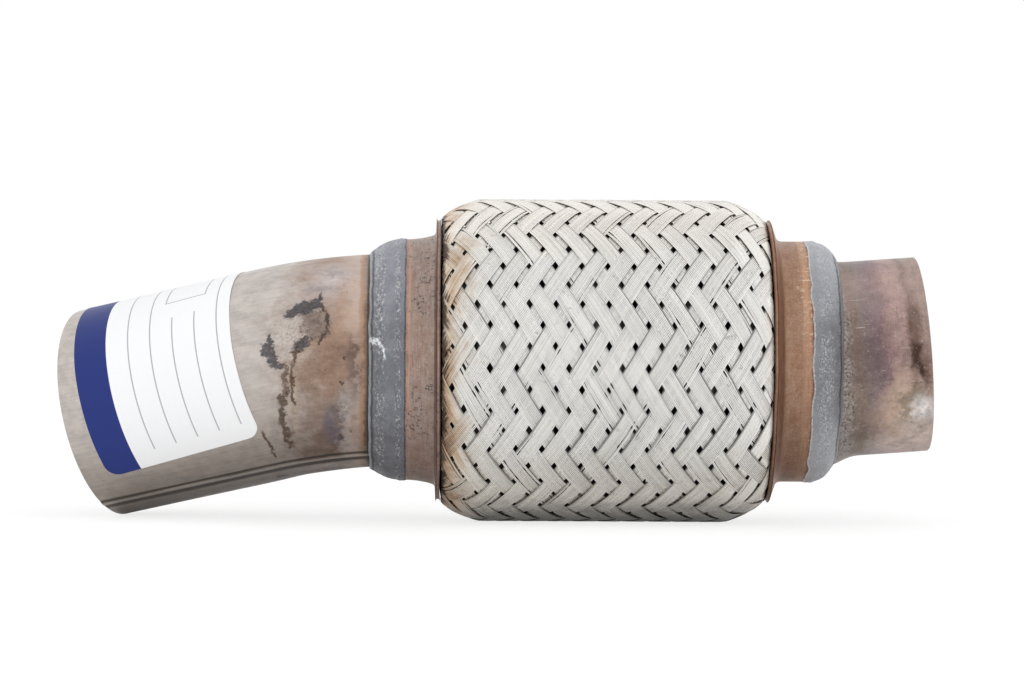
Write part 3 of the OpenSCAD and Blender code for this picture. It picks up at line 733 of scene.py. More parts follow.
@dataclass(frozen=True)
class BraidWire:
    """Bright drawn wire, straw coloured where the inlet weld's heat reached it."""

    centre: Vector
    lip_x: float
    bright: Colour = (0.98, 0.965, 0.94)
    grey: Colour = (0.87, 0.86, 0.835)
    straw: Colour = (0.66, 0.50, 0.35)
    cream: Colour = (0.84, 0.77, 0.675)
    edge: Colour = (0.20, 0.19, 0.18)
    brown: Colour = (0.36, 0.21, 0.12)
    lip_shadow: Colour = (0.05, 0.036, 0.03)
    dark_fleck: Colour = (0.30, 0.25, 0.20)

    def make(self) -> bpy.types.Material:
        """Builds the material."""
        paint = Paint("braid_wire", self.centre)
        g = paint.graph
        tone = paint.attribute("wire_tone", "Fac")
        x, _, z = g.parts(paint.point)
        cloud = paint.noise(paint.point, 0.055, 3.0, 0.6)
        patch = paint.noise(paint.point, 0.20, 4.0, 0.65)
        paint.colour = g.mix(g.math("MINIMUM", tone * 0.75 + cloud * 0.25, 1.0), self.bright, self.grey)
        # Painted shadow along each strand's edge, on the wire whose tone is past 1.
        paint.coat(g.step(tone, 0.92, 1.6) * 0.75, self.edge)
        low = g.step(z + patch.swing(8.0), -16.0, -42.0)
        high = g.step(z + patch.swing(8.0), 22.0, 42.0)
        paint.coat(low * 0.4 + high * 0.3, self.cream)
        # Painted shadow: the braid darkens near the floor at its underside.
        paint.shade(1.0 - 0.55 * g.step(z + patch.swing(3.0), -36.0, -45.0))
        from_inlet = x + self.lip_x + patch.swing(2.4) - cloud.swing(7.0) + tone.swing(3.0)
        paint.coat(g.step(from_inlet + z * 0.05, 13.0, 3.0) * 0.6, self.cream)
        paint.coat(g.step(from_inlet, 8.0, 1.0) * 0.9, self.straw)
        paint.coat(g.step(from_inlet, 2.6, 0.2) * 0.5, self.brown)
        from_outlet = self.lip_x - x + patch.swing(3.0)
        paint.coat(g.step(from_outlet, 4.5, 0.5) * 0.5, self.cream)
        # Painted shadow in the gaps where the braid runs under the collars' lips.
        to_lip = self.lip_x - g.size(x)
        paint.coat(g.step(to_lip, 2.0, 0.4) * 0.85, self.lip_shadow)
        # Painted shadow where the strands dive under the inlet lip, uneven from wire to wire.
        lip_shadow = x + self.lip_x + tone.swing(1.2) + patch.swing(1.4)
        paint.coat(g.step(lip_shadow, 2.5, 1.3) * 0.85, self.lip_shadow)
        # Soot in sparse dark flecks.
        dark_fleck = g.step(paint.noise(paint.point, 0.30, 4.0, 0.7), 0.88, 1.0)
        paint.coat(dark_fleck * 0.25, self.dark_fleck)
        rough = 0.20 + 0.10 * tone
        normal = g.bump(g.noise(paint.point, 2.6, 2.0, 0.6), 0.00002)
        return paint.finish(rough, normal)


@dataclass(frozen=True)
class HiddenSteel:
    """Steel of the layers under the braid, dulled by heat; a dark tone also stands in for the shade under
    the braid.
    """

    centre: Vector
    name: str
    tone: Colour

    def make(self) -> bpy.types.Material:
        """Builds the material."""
        paint = Paint(self.name, self.centre)
        g = paint.graph
        x, y, z = g.parts(paint.point)
        cloud = g.noise(paint.point, 0.1, 4.0, 0.6)
        drawn = g.noise(g.vector(x * 2.0, y * 0.2, z * 0.2), 1.2, 3.0, 0.6)
        paint.colour = g.shade(self.tone, 0.6 + 0.5 * cloud + 0.3 * drawn)
        rough = 0.38 + 0.2 * cloud
        normal = g.bump(drawn, 0.00004)
        return paint.finish(rough, normal)


@dataclass(frozen=True)
class LabelFilm:
    """White sticker film with a plain blue band, blank ruled lines and a blank frame.

    Each rule is its place along the pipe and its two ends. The box is the frame's two sides along the pipe
    and its two ends. The line is how far a printed line's edges reach from its middle.
    """

    centre: Vector
    white: Colour = (0.95, 0.955, 0.965)
    blue: Colour = (0.013, 0.030, 0.19)
    ink: Colour = (0.13, 0.135, 0.155)
    band: float = 9.8
    rules: tuple[tuple[float, float, float], ...] = (
        (16.6, 5.0, 66.0), (23.4, 5.0, 66.0), (30.2, 5.0, 42.0), (37.0, 5.0, 42.0), (43.8, 5.0, 66.0),
    )
    box: tuple[float, float, float, float] = (27.6, 39.6, 49.0, 66.0)
    line: Pair = (0.23, 0.15)
    line_end: float = 0.1
    line_share: float = 0.62
    band_edge: float = 0.08
    soil: Colour = (0.45, 0.42, 0.38)
    worn: Colour = (0.30, 0.34, 0.50)
    back: Colour = (0.62, 0.62, 0.61)

    def ruled(self, paint: Paint, across: Wire, up: Wire) -> None:
        """Prints the rules and the frame on the film.

        Args:
            paint: The material under construction.
            across: Place along the pipe from the band's edge of the film.
            up: Place up from the film's lower edge.
        """
        g = paint.graph
        for at, low, high in self.rules:
            line = g.step(g.size(across - at), *self.line)
            span = g.step(up, low - self.line_end, low + self.line_end)
            span = span * g.step(up, high + self.line_end, high - self.line_end)
            paint.coat(line * span * self.line_share, self.ink)
        left, right, low, high = self.box
        out_a = g.size(across - (left + right) / 2) - (right - left) / 2
        out_b = g.size(up - (low + high) / 2) - (high - low) / 2
        frame = g.step(g.size(g.math("MAXIMUM", out_a, out_b)), *self.line)
        paint.coat(frame * self.line_share, self.ink)

    def make(self) -> bpy.types.Material:
        """Builds the material from the label's own place: along the pipe, and up from its lower edge."""
        paint = Paint("label_film", self.centre)
        g = paint.graph
        across, up, side = g.parts(paint.attribute("place", "Vector"))
        fibre = g.noise(paint.point, 0.6, 4.0, 0.6)
        cloud = g.noise(paint.point, 0.05, 3.0, 0.5)
        paint.colour = g.shade(self.white, 0.965 + 0.04 * cloud + 0.02 * fibre)
        soil = g.step(g.noise(paint.point, 0.33, 5.0, 0.75), 0.66, 0.78)
        paint.coat(soil * 0.08, self.soil)
        self.ruled(paint, across, up)
        worn = g.step(g.noise(paint.point, 0.5, 5.0, 0.7), 0.70, 0.80) * 0.10
        blue = g.mix(worn, self.blue, self.worn)
        banded = g.step(across, self.band + self.band_edge, self.band - self.band_edge)
        paint.coat(banded, blue)
        paint.coat(g.step(side, 0.5, 0.6) * 0.8, self.back)
        normal = g.bump(cloud * 0.7 + fibre * 0.3, 0.00003)
        return paint.finish(0.42, normal, metal=0.0, Specular_IOR_Level=0.3)


@dataclass(frozen=True)
class Layout:
    """Stations and radii that the pieces share, in millimetres from the middle of the flexible section."""

    centre: Vector
    tube_r: float = 30.0
    wall: float = 1.5
    stub_r: float = 27.5
    insert: float = 7.5
    bend_angle: float = math.radians(22.0)
    bend_radius: float = 100.0
    bend_turn: float = math.radians(54.0)
    straight: float = 54.5
    kick: float = math.radians(4.4)
    kick_radius: float = 60.0
    neck: float = 9.0
    stub: float = 20.0
    lip_x: float = 46.3
    inlet_end: float = 56.2
    outlet_end: float = 58.3
    inset: float = 1.5
    lip_r: float = 40.0
    collar_sheet: float = 1.2
    collar_in: float = 32.82
    flare: float = math.radians(70.0)
    fillet: float = 3.0
    crest_r: float = 45.56
    crest_x: float = 34.3
    shoulder: float = 12.0
    strand_rise: float = 0.8
    fit: float = 0.1
    inlet_weld: float = 9.3
    outlet_weld: float = 7.4

    @property
    def collar_out(self) -> float:
        """Radius of the collars' cuffs outside."""
        return self.collar_in + self.collar_sheet

    @property
    def bend_start(self) -> float:
        """Where the inlet bend leaves the flexible section's axis."""
        return -(self.inlet_end - self.inset)

    @property
    def kick_start(self) -> float:
        """Where the outlet's kick leaves the flexible section's axis."""
        return self.outlet_end - self.inset

    @property
    def bend_way(self) -> Array:
        """The direction that the inlet tube bends towards."""
        return np.array([0.0, math.sin(self.bend_turn), -math.cos(self.bend_turn)])

    @property
    def flange(self) -> float:
        """Straight length of a collar's flange."""
        middle = self.collar_in + self.collar_sheet / 2
        lip = self.lip_r - self.collar_sheet / 2 * math.cos(self.flare)
        return (lip - middle - self.fillet * (1 - math.cos(self.flare))) / math.sin(self.flare)

    def flare_arc(self, angle: float, deep: float) -> Pair:
        """A point on a collar's fillet as x and radius, deep inwards from the middle of its sheet."""
        at = self.lip_x + self.fillet * math.sin(self.flare) + self.flange * math.cos(self.flare)
        centre = self.collar_in + self.collar_sheet / 2 + self.fillet
        reach = self.fillet + deep
        return at - reach * math.sin(angle), centre - reach * math.cos(angle)

    def flare_tip(self, deep: float, along: float) -> Pair:
        """A point on a collar's flange, along it from the fillet."""
        x, r = self.flare_arc(self.flare, deep)
        return x - along * math.cos(self.flare), r + along * math.sin(self.flare)

    def world(self, points: Array) -> Array:
        """Turns millimetres from the flexible section's middle into metres in the frame."""
        return np.asarray(points, float) * MM + np.array(self.centre)

    def inlet_surface(self, x: float, out: Array) -> Array:
        """Distance from the pipe's axis to the bent inlet tube in a plane across the pipe.

        Args:
            x: Where the plane stands.
            out: Unit directions away from the axis, one per row.

        Returns:
            One distance per direction.
        """
        sine = max(0.0, self.bend_start - x) / self.bend_radius
        cosine = math.sqrt(1 - sine * sine)
        lean = out @ self.bend_way
        return self.bend_radius * (1 - cosine) * lean + self.tube_r * (1 + (1 / cosine - 1) * lean * lean)


class Unevenness:
    """Smooth unevenness of a surface: a fixed sum of waves."""

    def __init__(self, seed: int, reach: float, count: int = 20) -> None:
        """Draws the waves.

        Args:
            seed: Fixes the waves.
            reach: About how long a wave is, in millimetres.
            count: How many waves are added.
        """
        chance = np.random.default_rng(seed)
        way = chance.normal(size=(count, 3))
        way /= np.linalg.norm(way, axis=1, keepdims=True)
        self.waves = way * (2 * math.pi / reach) * chance.uniform(0.6, 1.7, size=(count, 1))
        self.phase = chance.uniform(0, 2 * math.pi, size=count)
        self.gain = 0.5 * math.sqrt(2.0 / count)

    def at(self, points: Array) -> Array:
        """Reads the unevenness, about -1 to 1, at points given in rows."""
        return np.sin(points @ self.waves.T + self.phase).sum(-1) * self.gain


def make_skin(
    name: str,
    rings: Array,
    place: Array,
    layout: Layout,
    material: bpy.types.Material,
    sharp: float = 40.0,
) -> Piece:
    """Joins rings of points into one closed mesh, the last ring to the first.

    Args:
        name: The piece's name.
        rings: Points in millimetres, as rings, points of a ring, and x y z.
        place: What the piece's own place attribute holds at each point.
        layout: Puts the points into the frame.
        material: The piece's finish.
        sharp: Edges that turn by more than this many degrees are sharp.

    Returns:
        The piece's object.
    """
    count, round_count = rings.shape[:2]
    here = np.arange(count)[:, None] * round_count
    there = (np.arange(count)[:, None] + 1) % count * round_count
    first = np.arange(round_count)[None, :]
    second = (first + 1) % round_count
    faces = np.stack([here + first, here + second, there + second, there + first], -1).reshape(-1, 4)
    points = layout.world(rings.reshape(-1, 3))
    centred = points - points.mean(0)
    a, b, c, d = (centred[faces[:, k]] for k in range(4))
    volume = np.einsum("ij,ij->", a, np.cross(b, c)) + np.einsum("ij,ij->", a, np.cross(c, d))
    if volume < 0:
        faces = faces[:, ::-1]
    return make_mesh(name, points, faces, place.reshape(-1, 3), material, sharp)


def make_mesh(
    name: str,
    points: Array,
    faces: Array,
    place: Array,
    material: bpy.types.Material,
    sharp: float,
) -> Piece:
    """Makes a smooth mesh object in the scene.

    Args:
        name: The piece's name.
        points: Points in the frame, in metres.
        faces: Rows of point numbers.
        place: What the piece's own place attribute holds at each point.
        material: The piece's finish.
        sharp: Edges that turn by more than this many degrees are sharp.

    Returns:
        The piece's object.
    """
    mesh = bpy.data.meshes.new(name)
    mesh.from_pydata(points.tolist(), [], faces.tolist())
    mesh.attributes.new("place", "FLOAT_VECTOR", "POINT").data.foreach_set(
        "vector", np.ascontiguousarray(place, np.float32).ravel()
    )
    mesh.shade_smooth()
    mesh.set_sharp_from_angle(angle=math.radians(sharp))
    mesh.materials.append(material)
    mesh.update()
    return put_in_scene(name, mesh)


def put_in_scene(name: str, data: bpy.types.ID) -> Piece:
    """Links a mesh, a curve, a lamp or a camera into the scene as an object at the origin."""
    piece = bpy.data.objects.new(name, data)
    bpy.context.scene.collection.objects.link(piece)
    return piece


def settle(piece: Piece, body: Body, *nodes: str) -> Piece:
    """Lets a piece ride on a body in place of CAD nodes, which it hides."""
    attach(piece, body.value)
    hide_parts(*nodes)
    return piece


def bell(value: Union[float, Array], width: float) -> Union[float, Array]:
    """A smooth hump, 1 high where the value is 0, that falls off over a width."""
    return np.exp(-((value / width) ** 2))


def round_place(along: float, reach: Array, turn: Array) -> Array:
    """The own place of a tube's ring: the distance from its rim, then the ring's reach by its angles."""
    return np.stack([np.full(len(turn), along), reach * np.cos(turn), reach * np.sin(turn)], -1)


def axis_place(along: Union[float, Array], points: Array) -> Array:
    """The own place of points round the axis: a distance along, then height and forward reach."""
    return np.stack([np.broadcast_to(along, points.shape[:-1]), points[..., 2], -points[..., 1]], -1)


def round_axis(round_count: int) -> Array:
    """Unit directions away from the pipe's axis, from the front over the top, one per row."""
    angle = np.linspace(0, 2 * math.pi, round_count, endpoint=False)
    return np.stack([np.zeros_like(angle), -np.cos(angle), np.sin(angle)], -1)


def turned_profile(profile: Sequence[Pair], round_count: int) -> tuple[Array, Array]:
    """Turns a closed profile about the pipe's axis.

    Args:
        profile: Corners as x and radius, in order round the profile.
        round_count: Points round the pipe.

    Returns:
        The rings of points, and the outward direction of each column.
    """
    out = round_axis(round_count)
    corners = np.array(profile, float)
    rings = corners[:, 1, None, None] * out[None]
    rings[:, :, 0] += corners[:, 0, None]
    return rings, out


def walked(points: Sequence[Pair], most: float) -> list[Pair]:
    """Adds points to a line so that no step is longer than most."""
    line = [points[0]]
    for end in points[1:]:
        start = line[-1]
        steps = max(1, math.ceil(math.dist(start, end) / most))
        line += [
            (start[0] + (end[0] - start[0]) * k / steps, start[1] + (end[1] - start[1]) * k / steps)
            for k in range(1, steps + 1)
        ]
    return line


def line_length(line: Sequence[Pair]) -> float:
    """How long a line of points is."""
    return sum(math.dist(a, b) for a, b in zip(line, line[1:]))


@dataclass
class InletTube:
    """The bent, seamed tube at the inlet, with its square-cut rim and a pinch inside its bend."""

    layout: Layout
    seam_angle: float = 95.0
    seam_width: float = 2.4
    seam_height: float = 0.25
    seam_crown: float = 1.35
    seam_reach: float = 3.6
    seam_columns: int = 19
    seam_clear: float = 0.9
    pinch_at: float = 57.0
    pinch_half: float = 7.0
    pinch_angle: float = 150.0
    pinch_spread: float = 28.0
    pinch_depth: float = 0.45
    sag: float = 0.05
    sag_wave: float = 60.0
    seed: int = 11
    bevel: float = 0.22
    outer_row: float = 1.6
    inner_row: float = 3.0
    columns: int = 144

    def frame_at(self, along: float) -> tuple[Array, Array, Array]:
        """The tube's middle and its two cross directions at a distance from the rim.

        Args:
            along: Distance from the rim along the middle.

        Returns:
            The middle, the way to the outside of the bend, and the way a quarter turn to the front.
        """
        lay = self.layout
        way = lay.bend_way
        ahead = np.array([1.0, 0.0, 0.0])
        length = lay.bend_radius * lay.bend_angle
        turn = min(max((lay.straight + length - along) / lay.bend_radius, 0.0), lay.bend_angle)
        middle = np.array([lay.bend_start, 0.0, 0.0]) + lay.bend_radius * (
            (1 - math.cos(turn)) * way - math.sin(turn) * ahead
        )
        leave = -math.cos(turn) * ahead + math.sin(turn) * way
        if along < lay.straight:
            middle = middle + (lay.straight - along) * leave
        elif along > lay.straight + length:
            middle = middle + (along - lay.straight - length) * ahead
        outside = -math.cos(turn) * way - math.sin(turn) * ahead
        front = np.array([0.0, -math.cos(lay.bend_turn), -math.sin(lay.bend_turn)])
        return middle, outside, front

    def angles(self) -> Array:
        """Angles round the tube in degrees, closer together at the seam."""
        even = np.linspace(-180.0, 180.0, self.columns, endpoint=False)
        seam = self.seam_angle + np.linspace(-self.seam_reach, self.seam_reach, self.seam_columns)
        far = np.abs(even[:, None] - seam[None]).min(1) > self.seam_clear
        return np.sort(np.concatenate([even[far], seam]))

    def walls(self) -> list[Pair]:
        """The wall's closed outline as distance from the rim and radius, the outside first."""
        lay = self.layout
        bore = lay.tube_r - lay.wall
        end = lay.straight + lay.bend_radius * lay.bend_angle + lay.insert
        outside = walked([(self.bevel, lay.tube_r), (end, lay.tube_r)], self.outer_row)
        inside = walked([(end, bore), (self.bevel, bore)], self.inner_row)
        return [(0.0, lay.tube_r - self.bevel)] + outside + inside + [(0.0, bore + self.bevel)]

    def build(self, finish: TubeSteel) -> Piece:
        """Builds the tube.

        Args:
            finish: Its steel.

        Returns:
            The piece.
        """
        lay = self.layout
        degrees = self.angles()
        turn = np.radians(degrees)
        offset = (degrees - self.seam_angle) * math.pi / 180 * lay.tube_r
        slope = np.abs(offset) / (self.seam_width / 2) * self.seam_crown
        bead = self.seam_height * np.clip(self.seam_crown - slope, 0, 1)
        pinch_round = bell(degrees - self.pinch_angle, self.pinch_spread)
        sag = Unevenness(self.seed, self.sag_wave)
        rings, places = [], []
        for along, radius in self.walls():
            middle, outside, front = self.frame_at(along)
            out = np.cos(turn)[:, None] * outside + np.sin(turn)[:, None] * front
            reach = np.full(len(turn), radius)
            if radius > lay.tube_r - lay.wall / 2:
                pinch = bell(along - self.pinch_at, self.pinch_half) * pinch_round
                reach = reach + bead
                reach = reach - self.pinch_depth * pinch + self.sag * sag.at(middle + radius * out)
            rings.append(middle + reach[:, None] * out)
            places.append(round_place(along, reach, turn))
        piece = make_skin("inlet_pipe", np.array(rings), np.array(places), lay, finish.make())
        return settle(piece, Body.INLET, "inlet_tube")


@dataclass
class OutletTube:
    """The outlet tube: it leaves the flexible section, kicks up, necks down and ends in a plain stub."""

    layout: Layout
    dent: float = 0.05
    dent_wave: float = 34.0
    dent_from: float = 3.0
    seed: int = 23
    bevel: float = 0.22
    rows: int = 36
    columns: int = 144
    shares: tuple[Pair, ...] = (
        (0.0, 0.0), (0.11, 0.06), (0.28, 0.26), (0.5, 0.58), (0.67, 0.8), (0.83, 0.94), (1.0, 1.0),
    )

    def frame_at(self, back: float) -> tuple[Array, Array]:
        """The tube's middle and its upward direction at a distance from the stub's rim.

        Args:
            back: Distance from the rim along the middle.

        Returns:
            The middle and the upward direction.
        """
        lay = self.layout
        ahead, rise = np.array([1.0, 0.0, 0.0]), np.array([0.0, 0.0, 1.0])
        length = lay.kick_radius * lay.kick
        straight = lay.neck + lay.stub
        turn = min(max((straight + length - back) / lay.kick_radius, 0.0), lay.kick)
        middle = np.array([lay.kick_start, 0.0, 0.0]) + lay.kick_radius * (
            math.sin(turn) * ahead + (1 - math.cos(turn)) * rise
        )
        leave = math.cos(turn) * ahead + math.sin(turn) * rise
        if back < straight:
            middle = middle + (straight - back) * leave
        elif back > straight + length:
            middle = middle - (back - straight - length) * ahead
        return middle, -math.sin(turn) * ahead + math.cos(turn) * rise

    def shape(self, back: float, wide: float, narrow: float) -> float:
        """Radius of a wall that necks from wide to narrow, at a distance from the rim."""
        lay = self.layout
        into = (lay.stub + lay.neck - back) / lay.neck
        share = np.interp(into, *zip(*self.shares))
        return wide + float(share) * (narrow - wide)

    def surface(self, x: float, out: Array) -> Array:
        """Distance from the pipe's axis to this tube in a plane across the pipe.

        Args:
            x: Where the plane stands.
            out: Unit directions away from the axis, one per row.

        Returns:
            One distance per direction.
        """
        lay = self.layout
        back = lay.stub + lay.neck + lay.kick_radius * lay.kick - (x - lay.kick_start)
        middle, _ = self.frame_at(back)
        return self.shape(back, lay.tube_r, lay.stub_r) + middle[2] * out[:, 2]

    def build(self, finish: StubSteel) -> Piece:
        """Builds the tube.

        Args:
            finish: Its steel.

        Returns:
            The piece.
        """
        lay = self.layout
        end = lay.stub + lay.neck + lay.kick_radius * lay.kick + lay.insert
        backs = list(np.linspace(self.bevel, end, self.rows))
        bore = lay.stub_r - lay.wall
        outline = [(0.0, lay.stub_r - self.bevel)]
        outline += [(b, self.shape(b, lay.tube_r, lay.stub_r)) for b in backs]
        outline += [(b, self.shape(b, lay.tube_r - lay.wall, bore)) for b in reversed(backs)]
        outline += [(0.0, bore + self.bevel)]
        turn = np.linspace(-math.pi, math.pi, self.columns, endpoint=False)
        dent = Unevenness(self.seed, self.dent_wave)
        rings, places = [], []
        for back, radius in outline:
            middle, rise = self.frame_at(back)
            out = np.cos(turn)[:, None] * rise + np.sin(turn)[:, None] * np.array([0.0, -1.0, 0.0])
            fade = min(1.0, back / self.dent_from)
            reach = radius + self.dent * dent.at(middle + radius * out) * fade
            rings.append(middle + reach[:, None] * out)
            places.append(round_place(back, reach, turn))
        piece = make_skin("outlet_pipe", np.array(rings), np.array(places), lay, finish.make())
        return settle(piece, Body.OUTLET, "outlet_tube")


@dataclass
class WeldBead:
    """A weld bead that closes a collar onto its tube."""

    layout: Layout
    name: str
    body: Body
    node: str
    end_x: float
    way: int
    length: float
    toe_gap: float
    tube: Callable[[float, Array], Array]
    seed: int
    overlap: float = 0.9
    wander: float = 0.10
    lump: float = 0.06
    lump_wave: float = 11.0
    ripple: float = 0.05
    ripple_wave: float = 3.0
    ripple_count: int = 28
    toe_lump: float = 0.16
    toe_r: float = 34.0
    end_r: float = 36.0
    end_shift: float = 80.0
    end_ripple: float = 0.4
    ridge: tuple[float, float, float] = (0.22, 0.7, 0.9)
    toe_ridge: tuple[float, float, float] = (0.10, 0.5, 0.45)
    end_ridge: float = 0.11
    skin: float = 0.03
    fade_rows: float = 9.0
    sunk: float = 0.1
    clear: float = 0.05
    end_clear: float = 0.02
    columns: int = 240
    rows: int = 44
    foot_rows: tuple[float, ...] = (1.0, 0.66, 0.33, 0.0)
    shares: tuple[Pair, ...] = (
        (0.0, 0.0), (0.15, 0.01), (0.30, 0.07), (0.45, 0.17), (0.60, 0.33), (0.75, 0.55), (0.90, 0.82),
        (1.0, 1.0),
    )

    def ridges(self, at: float) -> float:
        """Height of the bead's two ridges and of its overlap, at a distance from the collar's end."""
        high, start, width = self.ridge
        toe_high, toe_start, toe_width = self.toe_ridge
        rise = high * bell(at - start, width) + toe_high * bell(self.length - at - toe_start, toe_width)
        return rise + self.end_ridge * math.sin(math.pi * min(max(-at / self.overlap, 0.0), 1.0))

    def crown(self, out: Array, toe: Array, near: Array) -> list[tuple[float, Array]]:
        """The rings of the bead's outer face, from its overlap on the collar to its toe.

        Args:
            out: Unit directions away from the axis.
            toe: How far the toe wanders past the bead's length, in each direction.
            near: How far the bead overlaps the collar, in each direction.

        Returns:
            Each ring after its distance from the toe.
        """
        rim = self.layout.collar_out
        lump, ripple = self.waves()
        rings = []
        for step in np.linspace(0.0, 1.0, self.rows):
            reach = (self.length + toe + near) * step - near
            share = np.clip(reach / self.length, 0.0, 1.0)
            fall = np.interp(share, *zip(*self.shares))
            foot = self.tube(self.end_x + self.way * self.length * float(share.mean()), out) + self.toe_gap
            radius = rim + (np.minimum(foot, rim) - rim) * fall
            fade = min(1.0, step * self.fade_rows, (1.0 - step) * self.fade_rows)
            ring = out * radius[:, None]
            ring[:, 0] = self.end_x + self.way * reach
            rough = self.lump * lump.at(ring) + self.ripple * ripple.at(ring)
            ring += out * (self.ridges(reach.mean()) + self.skin + rough * fade)[:, None]
            rings.append((self.length - reach.mean(), ring))
        return rings

    def base(self, out: Array, toe: Array, near: Array) -> list[tuple[float, Array]]:
        """The rings of the bead's hidden face, back along the tube and under the overlap, as in crown."""
        rings = []
        for step in self.foot_rows:
            radius = self.tube(self.end_x + self.way * self.length * step, out) + self.clear
            ring = out * radius[:, None]
            ring[:, 0] = self.end_x + self.way * (self.length + toe) * step
            rings.append((self.length * (1 - step), ring))
        for back in (0.0, near - self.end_clear):
            ring = out * (self.layout.collar_out - self.sunk)
            ring[:, 0] = self.end_x - self.way * back
            rings.append((self.length, ring))
        return rings

    def waves(self) -> tuple[Unevenness, Unevenness]:
        """The bead's lumps and its ripple."""
        ripple = Unevenness(self.seed + 1, self.ripple_wave, self.ripple_count)
        return Unevenness(self.seed, self.lump_wave), ripple

    def build(self, finish: WeldMetal) -> Piece:
        """Builds the bead, following the tube below it.

        Args:
            finish: Its metal.

        Returns:
            The piece.
        """
        out = round_axis(self.columns)
        lump, ripple = self.waves()
        toe_at, end_at = out * self.toe_r, out * self.end_r + self.end_shift
        toe = self.toe_lump * lump.at(toe_at) + self.ripple * ripple.at(toe_at)
        near = self.overlap - self.wander * (lump.at(end_at) + self.end_ripple * ripple.at(end_at))
        rows = self.crown(out, toe, near) + self.base(out, toe, near)
        rings = np.array([ring for _, ring in rows])
        places = np.array([axis_place(from_toe, ring) for from_toe, ring in rows])
        piece = make_skin(self.name, rings, places, self.layout, finish.make(), 60.0)
        return settle(piece, self.body, self.node)


@dataclass
class Collar:
    """A pressed collar: a cuff on the tube, a fillet and a flared flange with a rounded lip."""

    layout: Layout
    shape: Layout
    name: str
    body: Body
    node: str
    side: int
    end_x: float
    seed: int
    opening: float = 0.0
    cuff_curve: float = 2.3
    wave: float = 0.16
    wave_length: float = 26.0
    steps: int = 8
    row: float = 0.9
    columns: int = 192

    def cuff(self, radius: float, foot: Pair) -> list[Pair]:
        """One face of the cuff for a collar at +X, from its end towards the fillet's foot."""
        length, rise = foot[0] - self.end_x, foot[1] - radius
        shares = [k / self.steps for k in range(self.steps)]
        return [(self.end_x + length * share, radius + rise * share**self.cuff_curve) for share in shares]

    def profile(self) -> list[Pair]:
        """The sheet's closed outline for a collar at +X, over the outside to the lip and back inside."""
        lay, shape = self.layout, self.shape
        half = lay.collar_sheet / 2
        tip = shape.flare_tip(0.0, shape.flange)
        bend = shape.flare - self.opening
        turns = [self.opening + bend * k / self.steps for k in range(self.steps + 1)]
        lip = []
        for k in range(self.steps + 1):
            a = math.pi / 2 - shape.flare - math.pi * k / self.steps
            lip.append((tip[0] + half * math.cos(a), tip[1] + half * math.sin(a)))
        outside = [shape.flare_arc(a, -half) for a in turns]
        inside = [shape.flare_arc(a, half) for a in reversed(turns)]
        outside = self.cuff(lay.collar_out, outside[0]) + outside
        inside = inside + self.cuff(lay.collar_in, inside[-1])[::-1]
        return walked(outside + lip, self.row) + inside

    def build(self, finish: HeatedSheet) -> Piece:
        """Builds the collar.

        Args:
            finish: Its sheet.

        Returns:
            The piece.
        """
        lay = self.layout
        profile = self.profile()
        rings, out = turned_profile([(self.side * x, r) for x, r in profile], self.columns)
        steps = np.concatenate([[0.0], np.cumsum([math.dist(a, b) for a, b in zip(profile, profile[1:])])])
        reach = np.array([(r - lay.collar_in) / (lay.lip_r - lay.collar_in) for x, r in profile])
        wave = Unevenness(self.seed, self.wave_length).at(out * lay.lip_r)
        rings[:, :, 0] += self.wave * np.clip(reach, 0, 1)[:, None] ** 2 * wave[None]
        piece = make_skin(self.name, rings, axis_place(steps[:, None], rings), lay, finish.make())
        return settle(piece, self.body, self.node)


